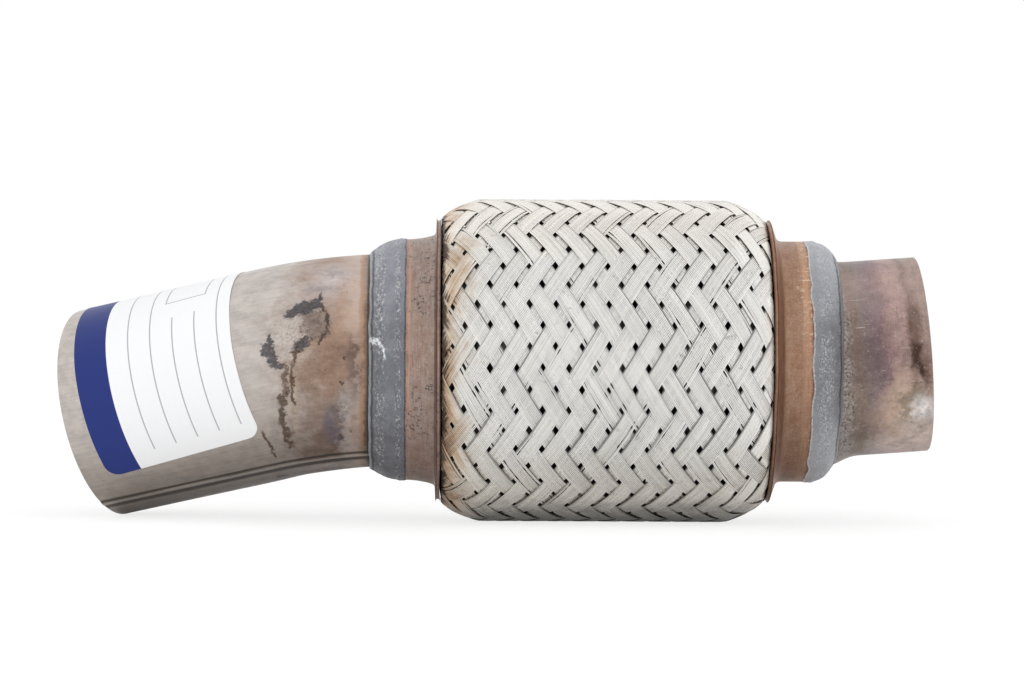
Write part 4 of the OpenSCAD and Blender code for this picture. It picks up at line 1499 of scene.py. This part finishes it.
class BraidTree:
    """The node tree that winds the wires of one lay along the meridian, each a little astray of its seat.

    Wires stray by millimetres. SQUEEZE and the seats are shares of a strand, and LEAN is a share of a row.
    """

    INPUTS = (
        ("Meridian", "Object"), ("Material", "Material"), ("Lay", "Int"), ("First strand", "Int"),
        ("Strands", "Int"), ("Wires", "Int"), ("Samples", "Int"), ("Seed", "Int"), ("Wire radius", "Float"),
        ("Rise", "Float"), ("Cover", "Float"), ("Spread", "Float"), ("Foot", "Float"), ("Run", "Float"),
        ("Column", "Float"), ("Row angle", "Float"), ("Sides", "Int"), ("Centre", "Vector"),
    )
    STRAND_LOT = 7.31
    DRIFT = 2.0
    SWAY = 0.9
    SQUEEZE = 0.14
    PARTED = 0.34
    PARTED_CHANCE = (0.55, 0.66)
    PARTED_SEATS = (0.30, 0.34)
    LIFT = 0.12
    LEAN = -0.14
    TONE = 0.9
    EDGE_SHADE_SEAT = (0.42, 0.44)

    def __init__(self) -> None:
        """Makes the tree with its inputs, and the nodes from the seats to the finished wires."""
        self.tree = bpy.data.node_groups.new("braid_lay", "GeometryNodeTree")
        face = self.tree.interface
        face.new_socket("Geometry", in_out="INPUT", socket_type="NodeSocketGeometry")
        for name, kind in self.INPUTS:
            face.new_socket(name, in_out="INPUT", socket_type=f"NodeSocket{kind}")
        face.new_socket("Geometry", in_out="OUTPUT", socket_type="NodeSocketGeometry")
        g = Graph(self.tree)
        self.graph = g
        self.source = g.node("NodeGroupInput")
        self.line = g.node("GeometryNodeObjectInfo", transform_space="ORIGINAL")
        g.put(self.line.inputs["Object"], self.given("Meridian"))
        wire_number = g.node("GeometryNodeInputNamedAttribute", data_type="INT")
        wire_number.inputs["Name"].default_value = "wire"
        self.number = g.out(wire_number)
        self.strand = g.math("FLOOR", self.number / self.given("Wires"))
        self.wire = self.number - self.strand * self.given("Wires")
        self.seat = (self.wire + 0.5) / self.given("Wires") - 0.5
        self.lot = self.strand * self.STRAND_LOT + self.given("Seed")
        self.length = g.out(g.node("GeometryNodeSplineParameter"), "Factor") * self.given("Run")
        end = g.node("NodeGroupOutput")
        g.put(end.inputs[0], self.drawn(self.laid(self.straight())))

    def given(self, name: str) -> Wire:
        """One of the tree's inputs."""
        return self.graph.out(self.source, name)

    def straight(self) -> Wire:
        """One straight curve for each wire, with its number in the wire attribute."""
        g = self.graph
        even = g.node("GeometryNodeResampleCurve")
        g.fill(even, Curve=g.out(g.node("GeometryNodeCurvePrimitiveLine")), Count=self.given("Samples"))
        seats = g.node("GeometryNodePoints")
        g.put(seats.inputs["Count"], self.given("Strands") * self.given("Wires"))
        copies = g.node("GeometryNodeInstanceOnPoints")
        g.fill(copies, Points=g.out(seats), Instance=g.out(even))
        named = g.node("GeometryNodeStoreNamedAttribute", data_type="INT", domain="INSTANCE")
        g.fill(named, Geometry=g.out(copies), Name="wire", Value=g.out(g.node("GeometryNodeInputIndex")))
        loose = g.node("GeometryNodeRealizeInstances")
        g.put(loose.inputs["Geometry"], g.out(named))
        return g.out(loose)

    def on_line(self, length: Wire) -> tuple[Wire, Wire, Wire, Wire]:
        """Reads the meridian at a length: x, radius, and the two parts of its tangent."""
        g = self.graph
        read = g.node("GeometryNodeSampleCurve", mode="LENGTH")
        g.fill(read, Curves=g.out(self.line, "Geometry"), Length=length)
        x, _, r = g.parts(g.out(read, "Position"))
        tx, _, tr = g.parts(g.out(read, "Tangent"))
        return x, r, tx, tr

    def stray(self, pace: float, second: Value, third: Value, octaves: float = 1.0) -> Wire:
        """A slow noise along the wires.

        Args:
            pace: Lumps on a millimetre of a wire.
            second: Sets wires or strands apart that stray by themselves.
            third: Sets them apart too.
            octaves: How much detail the noise has.

        Returns:
            The noise, about 0 to 1.
        """
        place = self.graph.vector(self.length * pace, second, third)
        return self.graph.noise(place, 1.0, octaves, 0.5)

    def across(self, pitch: Wire) -> Wire:
        """How far each wire lies from its strand's middle, where a strand takes up the pitch."""
        g, lot = self.graph, self.lot
        drift = self.stray(0.055, self.wire * 0.33, lot, 2.0)
        sway = self.stray(0.03, lot, lot)
        squeeze = self.stray(0.045, lot, lot + 90.0, 2.0)
        side = g.math("SIGN", self.seat)
        parted = g.step(self.stray(0.05, lot * 1.7, side * 13.0), *self.PARTED_CHANCE)
        parted = parted * g.step(g.size(self.seat), *self.PARTED_SEATS) * side
        share = self.given("Cover") + squeeze.swing(self.SQUEEZE)
        even = self.seat * pitch * share + drift.swing(self.DRIFT) * self.given("Spread")
        return even + sway.swing(self.SWAY) + parted * self.PARTED

    def laid(self, wires: Wire) -> Wire:
        """Lays straight wires in their strands, over two and under two, in the frame."""
        g = self.graph
        lay, row_angle, column = self.given("Lay"), self.given("Row angle"), self.given("Column")
        start = 2.0 * (self.strand * 2.0 + self.given("First strand")) + 1.0
        row = start + lay * ((self.length - self.given("Foot")) / column)
        radius = self.on_line(self.length)[1]
        slope = radius * row_angle / column
        cosine = 1.0 / g.math("SQRT", 1.0 + slope * slope)
        sine = slope * cosine
        across = self.across(2.0 * row_angle * radius * cosine)
        run = self.length - across * sine * lay
        turn = row * row_angle + across * cosine / radius
        x, r, tx, tr = self.on_line(run)

        phase = (turn / row_angle + lay * ((run - self.given("Foot")) / column) + start) * 0.5
        wave = g.math("COSINE", (phase - 1.5 + lay) * (math.pi / 2))
        flat = wave * (1.5 - wave * wave * 0.5)
        flat = flat * (1.5 - flat * flat * 0.5)
        lift = self.stray(0.08, self.wire * 0.9, self.lot + 40.0)
        up = flat * self.given("Rise") + lift.swing(self.LIFT)
        out = r + tx * up
        angle = turn + row_angle * self.LEAN
        spot = g.vector(x - tr * up, 0.0 - out * g.math("COSINE", angle), out * g.math("SINE", angle))
        scaled = g.node("ShaderNodeVectorMath", operation="MULTIPLY_ADD")
        g.put(scaled.inputs[0], spot)
        scaled.inputs[1].default_value = (MM, MM, MM)
        g.put(scaled.inputs[2], self.given("Centre"))
        placed = g.node("GeometryNodeSetPosition")
        g.fill(placed, Geometry=wires, Position=g.out(scaled))
        return g.out(placed)

    def drawn(self, wires: Wire) -> Wire:
        """Gives the laid wires their tone with an edge wire's painted shade, their round section and their
        material.
        """
        g = self.graph
        chance = g.node("ShaderNodeTexWhiteNoise", noise_dimensions="2D")
        g.put(chance.inputs["Vector"], g.vector(self.number, self.given("Seed"), 0.0))
        # Painted shadow: the last wire on one side of each strand gets a tone past 1, which its material
        # darkens.
        tone = g.out(chance, "Value") * self.TONE + g.step(self.seat, *self.EDGE_SHADE_SEAT)
        toned = g.node("GeometryNodeStoreNamedAttribute", data_type="FLOAT", domain="POINT")
        g.fill(toned, Geometry=wires, Name="wire_tone", Value=tone)
        section = g.node("GeometryNodeCurvePrimitiveCircle", mode="RADIUS")
        g.fill(section, Resolution=self.given("Sides"), Radius=self.given("Wire radius") * MM)
        solid = g.node("GeometryNodeCurveToMesh")
        g.fill(solid, Curve=g.out(toned), Profile_Curve=g.out(section, "Curve"), Fill_Caps=True)
        smooth = g.node("GeometryNodeSetShadeSmooth")
        g.put(smooth.inputs[0], g.out(solid))
        real = g.node("GeometryNodeRealizeInstances")
        g.put(real.inputs["Geometry"], g.out(smooth))
        dressed = g.node("GeometryNodeSetMaterial")
        g.fill(dressed, Geometry=g.out(real), Material=self.given("Material"))
        return g.out(dressed)


@dataclass
class Braid:
    """The wire braid: strands of parallel wires wound both ways, over two and under two."""

    layout: Layout
    inlet: Layout
    strands: int = 24
    wires: int = 12
    sides: int = 6
    columns: int = 26
    samples: int = 104
    wire_r: float = 0.19
    rise: float = 0.26
    cover: float = 0.775
    spread: float = 0.09
    seed: int = 7
    clear: float = 0.03
    lead: float = 0.1
    run_on: float = 0.12
    rise_by: float = 0.55
    curve_steps: int = 28
    buried_steps: int = 6
    row: float = 3.0
    map_ends: float = 0.004
    map_sides: float = 0.06

    def shoulder(self, lay: Layout) -> tuple[list[Pair], float]:
        """One end of the line that the strands' middle follows, for a collar at +X.

        Args:
            lay: The collar's shape.

        Returns:
            The line as x and radius from under the collar to the crest, and its length under the collar.
        """
        deep = lay.collar_sheet / 2 + lay.fit
        foot = np.array(lay.flare_tip(deep, lay.flange))
        way = np.array([-math.cos(lay.flare), math.sin(lay.flare)])
        groove = lay.crest_r - lay.strand_rise
        lead = foot + self.lead * lay.shoulder * way
        top = np.array([lay.crest_x, groove])
        run = np.array([lay.crest_x + self.run_on * lay.shoulder, groove])
        high = lay.crest_r - self.rise - self.wire_r - self.clear - groove
        low = -self.rise - self.wire_r - self.clear
        curve = []
        for k in range(self.curve_steps + 1):
            t = k / self.curve_steps
            point = (1 - t) ** 3 * foot + 3 * (1 - t) ** 2 * t * lead
            point = point + 3 * (1 - t) * t * t * run + t**3 * top
            slope = (1 - t) ** 2 * (lead - foot) + 2 * (1 - t) * t * (run - lead) + t * t * (top - run)
            slope = slope / np.linalg.norm(slope)
            normal = np.array([slope[1], -slope[0]])
            if normal[1] < 0:
                normal = -normal
            ease = min(1.0, t / self.rise_by)
            ease = ease * ease * (3 - 2 * ease)
            curve.append(point + normal * (low + (high - low) * ease))
        turns = [lay.flare * k / self.buried_steps for k in range(self.buried_steps + 1)]
        buried = [np.array(lay.flare_arc(turn, deep - low)) for turn in turns]
        half = [(float(p[0]), float(p[1])) for p in buried + curve]
        return half, line_length(half[: self.buried_steps + 2])

    def meridian(self) -> tuple[list[Pair], float, float]:
        """The line that the strands' middle follows, as x and radius from the inlet to the outlet.

        Returns:
            The line, and its lengths under the inlet collar and under the outlet collar.
        """
        half, foot = self.shoulder(self.inlet)
        left = [(-x, r) for x, r in half]
        right, tail = self.shoulder(self.layout)
        right.reverse()
        return left + walked([left[-1], right[0]], self.row)[1:-1] + right, foot, tail

    def bake_map(self, mesh: bpy.types.Mesh) -> None:
        """Gives a lay's mesh a map with one row for each wire and one strip for each of its sides.

        Args:
            mesh: The lay's mesh, wire after wire and ring after ring.
        """
        sides = self.sides
        corner = np.zeros(len(mesh.loops), np.int32)
        mesh.loops.foreach_get("vertex_index", corner)
        totals = np.zeros(len(mesh.polygons), np.int32)
        mesh.polygons.foreach_get("loop_total", totals)
        face = np.repeat(np.arange(len(totals)), totals)
        per_wire = self.samples * sides
        wire, rest = corner // per_wire, corner % per_wire
        ring, side = rest // sides, rest % sides
        least = np.full(len(totals), sides)
        most = np.zeros(len(totals), np.int64)
        np.minimum.at(least, face, side)
        np.maximum.at(most, face, side)
        wraps = (least == 0) & (most == sides - 1) & (totals == 4)
        side = np.where(wraps[face] & (side == 0), sides, side)
        rows = len(mesh.vertices) // per_wire
        u = self.map_ends + (1 - 2 * self.map_ends) * ring / (self.samples - 1)
        v = (wire + self.map_sides + (1 - 2 * self.map_sides) * side / sides) / rows
        layer = mesh.uv_layers.new(name="OFBake")
        layer.data.foreach_set("uv", np.stack([u, v], -1).astype(np.float32).ravel())

    def guide(self, line: Sequence[Pair]) -> Piece:
        """Puts the meridian in the scene as a curve, for as long as the wires are wound."""
        curve = bpy.data.curves.new("meridian", "CURVE")
        curve.dimensions = "3D"
        spline = curve.splines.new("POLY")
        spline.points.add(len(line) - 1)
        for point, (x, r) in zip(spline.points, line):
            point.co = (x, 0.0, r, 1.0)
        return put_in_scene("meridian", curve)

    def wound(self, tree: bpy.types.NodeTree, values: dict[str, object]) -> bpy.types.Mesh:
        """Winds the strands of one piece.

        Args:
            tree: The tree that winds them.
            values: What its inputs hold.

        Returns:
            The wires' mesh.
        """
        inputs = {i.name: i.identifier for i in tree.interface.items_tree if i.in_out == "INPUT"}
        host = put_in_scene("host", bpy.data.meshes.new("host"))
        modifier = host.modifiers.new("lay", "NODES")
        modifier.node_group = tree
        for name, value in values.items():
            modifier[inputs[name]] = value
        bpy.context.view_layer.update()
        graph = bpy.context.evaluated_depsgraph_get()
        mesh = bpy.data.meshes.new_from_object(host.evaluated_get(graph))
        host.modifiers.remove(modifier)
        bpy.data.objects.remove(host)
        return mesh

    def build(self, finish: BraidWire) -> list[Piece]:
        """Builds the braid as two pieces for each lay.

        Args:
            finish: Its wire.

        Returns:
            The pieces.
        """
        line, foot, tail = self.meridian()
        run = line_length(line)
        guide = self.guide(line)
        tree = BraidTree().tree
        shared = {
            "Meridian": guide, "Material": finish.make(), "Strands": self.strands // 2, "Wires": self.wires,
            "Samples": self.samples, "Wire radius": self.wire_r, "Rise": self.rise, "Cover": self.cover,
            "Spread": self.spread, "Foot": foot, "Run": run, "Column": (run - foot - tail) / self.columns,
            "Row angle": math.pi / self.strands, "Sides": self.sides, "Centre": tuple(self.layout.centre),
        }
        pieces = []
        for lay_way in Lay:
            for first, letter in enumerate("ab"):
                seed = self.seed + 20 * first + 5 * lay_way.value
                own = {"Lay": lay_way.value, "First strand": first, "Seed": seed}
                mesh = self.wound(tree, {**shared, **own})
                mesh.name = f"braid_{lay_way.name.lower()}_{letter}"
                self.bake_map(mesh)
                pieces.append(put_in_scene(mesh.name, mesh))
        bpy.data.objects.remove(guide)
        for piece in pieces:
            flex(piece, self.layout, "outer_braid")
        return pieces


def flex(piece: Piece, layout: Layout, node: str) -> None:
    """Puts a piece in place of a CAD node, with its place baked into its mesh."""
    start = layout.world(np.array([-layout.lip_x, 0.0, 0.0]))
    end = layout.world(np.array([layout.lip_x, 0.0, 0.0]))
    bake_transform(piece)
    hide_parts(node)


@dataclass
class Bellows:
    """The gas-tight convoluted tube under the braid."""

    layout: Layout
    sheet: float = 0.6
    waves: int = 12
    length: float = 76.0
    root: float = 31.3
    crest: float = 42.56
    columns: int = 72

    def face(self, side: float) -> list[Pair]:
        """One face of the sheet from the inlet cuff to the outlet cuff, side being its offset outwards."""
        lay = self.layout
        pitch = self.length / self.waves
        arc = pitch / 4

        def bent(x: float, r: float, radius: float, turns: range) -> list[Pair]:
            """Points on an arc about x and r, at turns in degrees."""
            angles = [math.radians(turn) for turn in turns]
            return [(x + radius * math.cos(a), r + radius * math.sin(a)) for a in angles]

        line = [(-lay.inlet_end + lay.inset, self.root + side)]
        for k in range(self.waves):
            x = (k + 0.5) * pitch - self.length / 2
            line += bent(x - pitch / 2, self.root + arc, arc - side, range(-90, 1, 30))
            line += bent(x, self.crest - arc, arc + side, range(180, -1, -30))
            line += bent(x + pitch / 2, self.root + arc, arc - side, range(180, 241, 30))
        line.append((self.length / 2, self.root + side))
        line.append((lay.outlet_end - lay.inset, self.root + side))
        return line

    def build(self, finish: HiddenSteel) -> Piece:
        """Builds the bellows.

        Args:
            finish: Its sheet.

        Returns:
            The piece.
        """
        half = self.sheet / 2
        rings, _ = turned_profile(self.face(half) + self.face(-half)[::-1], self.columns)
        piece = make_skin("bellows_wall", rings, rings, self.layout, finish.make(), 60.0)
        flex(piece, self.layout, "bellows")
        return piece


@dataclass
class LinerHose:
    """The hose of folded strip inside the bellows; fold, rise and top are shares of a turn's pitch."""

    layout: Layout
    inner: float = 30.1
    sheet: float = 0.8
    pitch: float = 5.2
    step: float = 0.6
    lead: float = 0.5
    fold: float = 0.2
    rise: float = 0.3
    top: float = 0.9
    turns: int = 17
    columns: int = 96

    def face(self, radius: float) -> list[Pair]:
        """One face of the strip's turns between its two cuffs."""
        lay = self.layout
        start = -self.turns * self.pitch / 2
        low = radius - self.step
        line = [(-lay.inlet_end + lay.inset, radius), (start - self.lead, radius)]
        for k in range(self.turns):
            x = start + k * self.pitch
            line += [(x, low), (x + self.fold * self.pitch, low)]
            line += [(x + self.rise * self.pitch, radius), (x + self.top * self.pitch, radius)]
        line += [(-start, low), (-start + self.lead, radius), (lay.outlet_end - lay.inset, radius)]
        return line

    def build(self, finish: HiddenSteel) -> Piece:
        """Builds the hose.

        Args:
            finish: Its strip.

        Returns:
            The piece.
        """
        outline = self.face(self.inner + self.sheet) + self.face(self.inner)[::-1]
        rings, _ = turned_profile(outline, self.columns)
        piece = make_skin("liner_hose", rings, rings, self.layout, finish.make(), 35.0)
        flex(piece, self.layout, "inner_liner")
        return piece


@dataclass
class Label:
    """The film sticker wrapped round the straight part of the inlet tube, a little askew and peeling."""

    layout: Layout
    tube: InletTube
    inset: float = 6.0
    length: float = 47.8
    wrap: float = 100.0
    lower: float = 71.5
    corner: float = 4.0
    film: float = 0.12
    clear: float = 0.02
    askew: float = math.radians(3.7)
    askew_about: float = 28.0
    peel: float = 0.10
    peel_width: float = 3.0
    peel_share: float = 0.3
    peel_wave: float = 20.0
    seed: int = 5
    corner_steps: int = 9
    steps_along: int = 64
    steps_round: int = 110

    def build(self, finish: LabelFilm) -> Piece:
        """Builds the film as a closed sheet with round corners.

        Args:
            finish: Its film.

        Returns:
            The piece.
        """
        lay = self.layout
        edge = self.corner * (1 - np.cos(np.linspace(0, math.pi / 2, self.corner_steps)))
        plain = np.linspace(self.corner, self.length - self.corner, self.steps_along)[1:-1]
        a = np.concatenate([edge, plain, self.length - edge[::-1]])
        share = np.linspace(0.0, 1.0, self.steps_round)
        fade = np.maximum(0.0, np.maximum(self.corner - a, a - (self.length - self.corner)))
        trim = self.corner - np.sqrt(np.maximum(self.corner**2 - fade**2, 0.0))
        low, high = trim, self.wrap - trim
        b = low[:, None] + (high - low)[:, None] * share[None]
        a = np.repeat(a[:, None], len(share), 1)
        da, db = a - self.length / 2, -(b - self.askew_about)
        along = self.inset + self.length / 2 + da * math.cos(self.askew) + db * math.sin(self.askew)
        lower = math.radians(self.lower) * lay.tube_r
        bow = lower - self.askew_about - da * math.sin(self.askew) + db * math.cos(self.askew)
        turn = (bow / lay.tube_r)[..., None]
        frames = np.array([[self.tube.frame_at(float(v)) for v in line] for line in along])
        middle, outside, front = np.moveaxis(frames, 2, 0)
        out = np.cos(turn) * outside + np.sin(turn) * front
        near = np.minimum(np.minimum(b - low[:, None], high[:, None] - b), np.minimum(a, self.length - a))
        loose = Unevenness(self.seed, self.peel_wave).at(np.stack([along, bow, np.zeros_like(bow)], -1))
        peel = self.peel * np.clip(1 - near / self.peel_width, 0, 1) ** 2
        peel = (peel * np.clip(loose + self.peel_share, 0, 1))[..., None]
        sheets = [middle + (lay.tube_r + lift + peel) * out for lift in (self.film, self.clear)]
        piece = self.sheet(np.array(sheets), a, b, finish)
        return settle(piece, Body.INLET, "label")

    def sheet(self, sheets: Array, a: Array, b: Array, finish: LabelFilm) -> Piece:
        """Joins the film's two faces round their edge.

        Args:
            sheets: The outer and the inner face, as rows and columns of points.
            a: Place along the label's length at each point.
            b: Place up from its lower edge at each point.
            finish: Its film.

        Returns:
            The piece.
        """
        rows, cols = a.shape
        number = np.arange(rows * cols).reshape(rows, cols)
        quads = np.stack([number[:-1, :-1], number[1:, :-1], number[1:, 1:], number[:-1, 1:]], -1)
        quads = quads.reshape(-1, 4)
        rim = np.concatenate([number[:-1, 0], number[-1, :-1], number[:0:-1, -1], number[0, :0:-1]])
        after = np.roll(rim, -1)
        size = rows * cols
        walls = np.stack([rim, after, after + size, rim + size], -1)
        faces = np.concatenate([quads, quads[:, ::-1] + size, walls[:, ::-1]])
        points = self.layout.world(sheets.reshape(-1, 3))
        places = [np.stack([a, b, np.full_like(a, k)], -1).reshape(-1, 3) for k in (0.0, 1.0)]
        first, second, _, fourth = (points[quads[:, k]] for k in range(4))
        normal = np.cross(second - first, fourth - first)
        centre = self.layout.world(np.array([self.tube.frame_at(self.layout.straight / 2)[0]]))[0]
        if np.einsum("ij,ij->", normal, first - centre) < 0:
            faces = faces[:, ::-1]
        return make_mesh("sticker", points, faces, np.concatenate(places), finish.make(), 50.0)


def facing(eye: Vector, aim: Vector) -> Matrix:
    """The turn of a camera or a lamp at eye that looks at aim."""
    return (aim - eye).to_track_quat("-Z", "Y").to_matrix().to_4x4()


@dataclass(frozen=True)
class Softbox:
    """One square lamp, placed in the frame in metres, that the pipe's metal mirrors or not."""

    name: str
    at: tuple[float, float, float]
    size: float
    power: float
    mirrored: bool


@dataclass
class Studio:
    """The floor, the lamps, the world and the camera; eye, aim and middle are in the pipe's millimetres."""

    layout: Layout
    eye: tuple[float, float, float] = (-46.3, -1107.0, 31.0)
    aim: tuple[float, float, float] = (-25.5, 0.0, 5.4)
    middle: tuple[float, float, float] = (-25.0, 0.0, 0.0)
    roll: float = math.radians(0.35)
    lens: float = 137.55
    fill: float = 0.85
    shine: float = 1.0
    floor_reach: float = 8.0
    floor_tone: float = 0.90
    floor_seen_tone: float = 0.28
    floor_seen_glow: float = 0.78
    floor_mirrored_glow: float = 0.12
    lamps: tuple[Softbox, ...] = (
        Softbox("overhead", (0.0, -0.15, 1.1), 1.6, 0.3, True),
        Softbox("front", (0.0, -1.9, 0.7), 2.4, 13.0, False),
    )

    def camera(self) -> None:
        """Stands the camera at the photograph's angle."""
        data = bpy.data.cameras.new("camera")
        data.sensor_width = 36.0
        data.lens = self.lens
        data.clip_start = 0.05
        data.clip_end = 60.0
        eye = Vector(self.layout.world(np.array(self.eye)))
        aim = Vector(self.layout.world(np.array(self.aim)))
        camera = put_in_scene("camera", data)
        turn = facing(eye, aim) @ Matrix.Rotation(self.roll, 4, "Z")
        camera.matrix_world = Matrix.Translation(eye) @ turn
        bpy.context.scene.camera = camera

    def floor(self) -> None:
        """Lays a pale floor that keeps the pipe's shadow."""
        material = bpy.data.materials.new("studio_floor")
        g = blank_graph(material)
        path = g.node("ShaderNodeLightPath")
        seen = g.out(path, "Is Camera Ray")
        matt = g.node("ShaderNodeBsdfDiffuse")
        g.put(matt.inputs["Color"], g.mix(seen, (self.floor_tone,) * 3, (self.floor_seen_tone,) * 3))
        glow = g.node("ShaderNodeEmission")
        glow.inputs["Color"].default_value = (1.0, 1.0, 1.0, 1.0)
        mirrored = g.out(path, "Is Glossy Ray") * self.floor_mirrored_glow
        g.put(glow.inputs["Strength"], seen * self.floor_seen_glow + mirrored)
        both = g.node("ShaderNodeAddShader")
        g.put(both.inputs[0], g.out(matt))
        g.put(both.inputs[1], g.out(glow))
        end = g.node("ShaderNodeOutputMaterial")
        g.put(end.inputs["Surface"], g.out(both))
        reach = self.floor_reach
        mesh = bpy.data.meshes.new("floor")
        corners = [(-reach, -reach, 0.0), (reach, -reach, 0.0), (reach, reach, 0.0), (-reach, reach, 0.0)]
        mesh.from_pydata(corners, [], [(0, 1, 2, 3)])
        mesh.materials.append(material)
        put_in_scene("floor", mesh)

    def world(self) -> None:
        """Surrounds the pipe with white for the camera and the metal, and a plain fill for the rest."""
        world = bpy.data.worlds.new("studio")
        g = blank_graph(world)
        path = g.node("ShaderNodeLightPath")
        seen = g.out(path, "Is Camera Ray")
        shown = g.math("MAXIMUM", g.out(path, "Is Glossy Ray"), g.out(path, "Is Transmission Ray"))
        back = g.node("ShaderNodeBackground")
        back.inputs["Color"].default_value = (1.0, 1.0, 1.0, 1.0)
        strength = seen * (1.0 - self.fill) + shown * (self.shine - self.fill) + self.fill
        g.put(back.inputs["Strength"], strength)
        end = g.node("ShaderNodeOutputWorld")
        g.put(end.inputs["Surface"], g.out(back))
        bpy.context.scene.world = world

    def hang(self, softbox: Softbox) -> None:
        """Hangs one softbox that points at the pipe."""
        data = bpy.data.lights.new(softbox.name, "AREA")
        data.shape = "SQUARE"
        data.size = softbox.size
        data.energy = softbox.power
        lamp = put_in_scene(softbox.name, data)
        spot = Vector(softbox.at)
        middle = Vector(self.layout.world(np.array(self.middle)))
        lamp.matrix_world = Matrix.Translation(spot) @ facing(spot, middle)
        lamp.visible_glossy = softbox.mirrored

    def build(self) -> None:
        """Sets up the whole studio."""
        self.camera()
        self.floor()
        self.world()
        for softbox in self.lamps:
            self.hang(softbox)
        bpy.context.scene.view_settings.view_transform = "Standard"


def build_beads(layout: Layout, outlet: OutletTube) -> list[Piece]:
    """Builds both weld beads.

    Args:
        layout: Stations and radii of the pipe.
        outlet: The tube that the outlet bead lies on.

    Returns:
        The inlet bead and the outlet bead.
    """
    white_smear = Stain(
        (0.82, 0.86, 0.89), (Lobe(2.3, 80.1, 0.95, 3.4, 0.62), Lobe(4.3, 85.0, 0.5, 3.0)),
        strength=0.92, soft=0.5, ragged=0.5, grain=1.2,
    )
    inlet_bead = WeldBead(
        layout, name="inlet_bead", body=Body.INLET, node="inlet_weld", end_x=-layout.inlet_end, way=-1,
        length=layout.inlet_weld, toe_gap=0.45, tube=layout.inlet_surface, seed=31,
    )
    inlet_metal = WeldMetal(
        layout.centre, name="inlet_weld_metal", tone=(0.243, 0.248, 0.276), edge=(0.42, 0.45, 0.47),
        bands=((3.0, 1.6, 0.8), (8.1, 0.9, 1.0)), border=10.2, border_tone=(0.06, 0.06, 0.066),
        smear=(white_smear,), lift=(0.38, -0.08),
    )
    outlet_bead = WeldBead(
        layout, name="outlet_bead", body=Body.OUTLET, node="outlet_weld", end_x=layout.outlet_end, way=1,
        length=layout.outlet_weld, toe_gap=0.4, tube=outlet.surface, seed=41, overlap=1.5, wander=0.28,
    )
    outlet_metal = WeldMetal(
        layout.centre, name="outlet_weld_metal", tone=(0.265, 0.272, 0.290), edge=(0.30, 0.30, 0.31),
        bands=((1.6, 0.9, 0.6), (5.0, 2.4, 1.0)), border=8.9, border_tone=(0.74, 0.73, 0.72),
        spark=(0.72, 0.725, 0.735), lift=(0.75, 0.75), fine=2.1,
    )
    return [inlet_bead.build(inlet_metal), outlet_bead.build(outlet_metal)]


def build_collars(layout: Layout, steep: Layout) -> list[Piece]:
    """Builds both collars.

    Args:
        layout: Stations and radii of the pipe.
        steep: The same with the inlet collar's steeper flange.

    Returns:
        The inlet collar and the outlet collar.
    """
    rim_r = layout.lip_r - RUBBED_RIM
    inlet_collar = Collar(
        layout, shape=steep, name="inlet_cuff", body=Body.INLET, node="inlet_collar", side=-1,
        end_x=layout.inlet_end, seed=51, opening=STEEP_OPENING,
    )
    inlet_sheet = HeatedSheet(
        layout.centre, name="inlet_collar_sheet", brown=(0.335, 0.22, 0.175), dull=(0.35, 0.305, 0.275),
        copper=(0.56, 0.32, 0.235), copper_at=1.8, copper_half=0.8, rim=(0.50, 0.34, 0.32), rim_r=rim_r,
        glow_from=-20.0, dotted=0.36,
    )
    outlet_collar = Collar(
        layout, shape=layout, name="outlet_cuff", body=Body.OUTLET, node="outlet_collar", side=1,
        end_x=layout.outlet_end, seed=61,
    )
    outlet_sheet = HeatedSheet(
        layout.centre, name="outlet_collar_sheet", brown=(0.325, 0.175, 0.115), dull=(0.315, 0.22, 0.155),
        copper=(0.60, 0.36, 0.23), copper_at=3.0, copper_half=1.8, rim=(0.46, 0.28, 0.28), rim_r=rim_r,
        glow_from=8.0, dotted=0.12, ringed=0.18, toe=(0.17, 0.065, 0.055), glint=0.8, toe_at=1.4, low=0.2,
    )
    return [inlet_collar.build(inlet_sheet), outlet_collar.build(outlet_sheet)]


def main() -> None:
    """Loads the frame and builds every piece."""
    logging.basicConfig(level=logging.INFO, format="%(name)s: %(message)s")
    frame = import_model()
    centre = Vector(frame["joints"][0]["pos_m"])
    layout = Layout(centre=centre)
    steep = replace(
        layout, flare=STEEP_FLARE, fillet=STEEP_FILLET, collar_in=layout.collar_in + STEEP_RISE,
    )
    inlet = InletTube(layout)
    outlet = OutletTube(layout)
    pieces = [
        inlet.build(TubeSteel(centre, weld_toe=-layout.inlet_end - layout.inlet_weld)),
        outlet.build(StubSteel(centre)),
        *build_beads(layout, outlet),
        *build_collars(layout, steep),
        *Braid(layout, steep).build(BraidWire(centre, layout.lip_x)),
        # The bellows' dark tone is heat oxide and painted shade: it makes the gaps in the braid read dark.
        Bellows(layout).build(HiddenSteel(centre, "bellows_steel", tone=(0.16, 0.15, 0.14))),
        LinerHose(layout).build(HiddenSteel(centre, "liner_steel", tone=(0.34, 0.32, 0.30))),
        Label(layout, inlet).build(LabelFilm(centre)),
    ]
    for piece in pieces:
        LOG.info("%s: %d faces", piece.name, len(piece.data.polygons))
    Studio(layout).build()


if __name__ == "__main__":
    main()
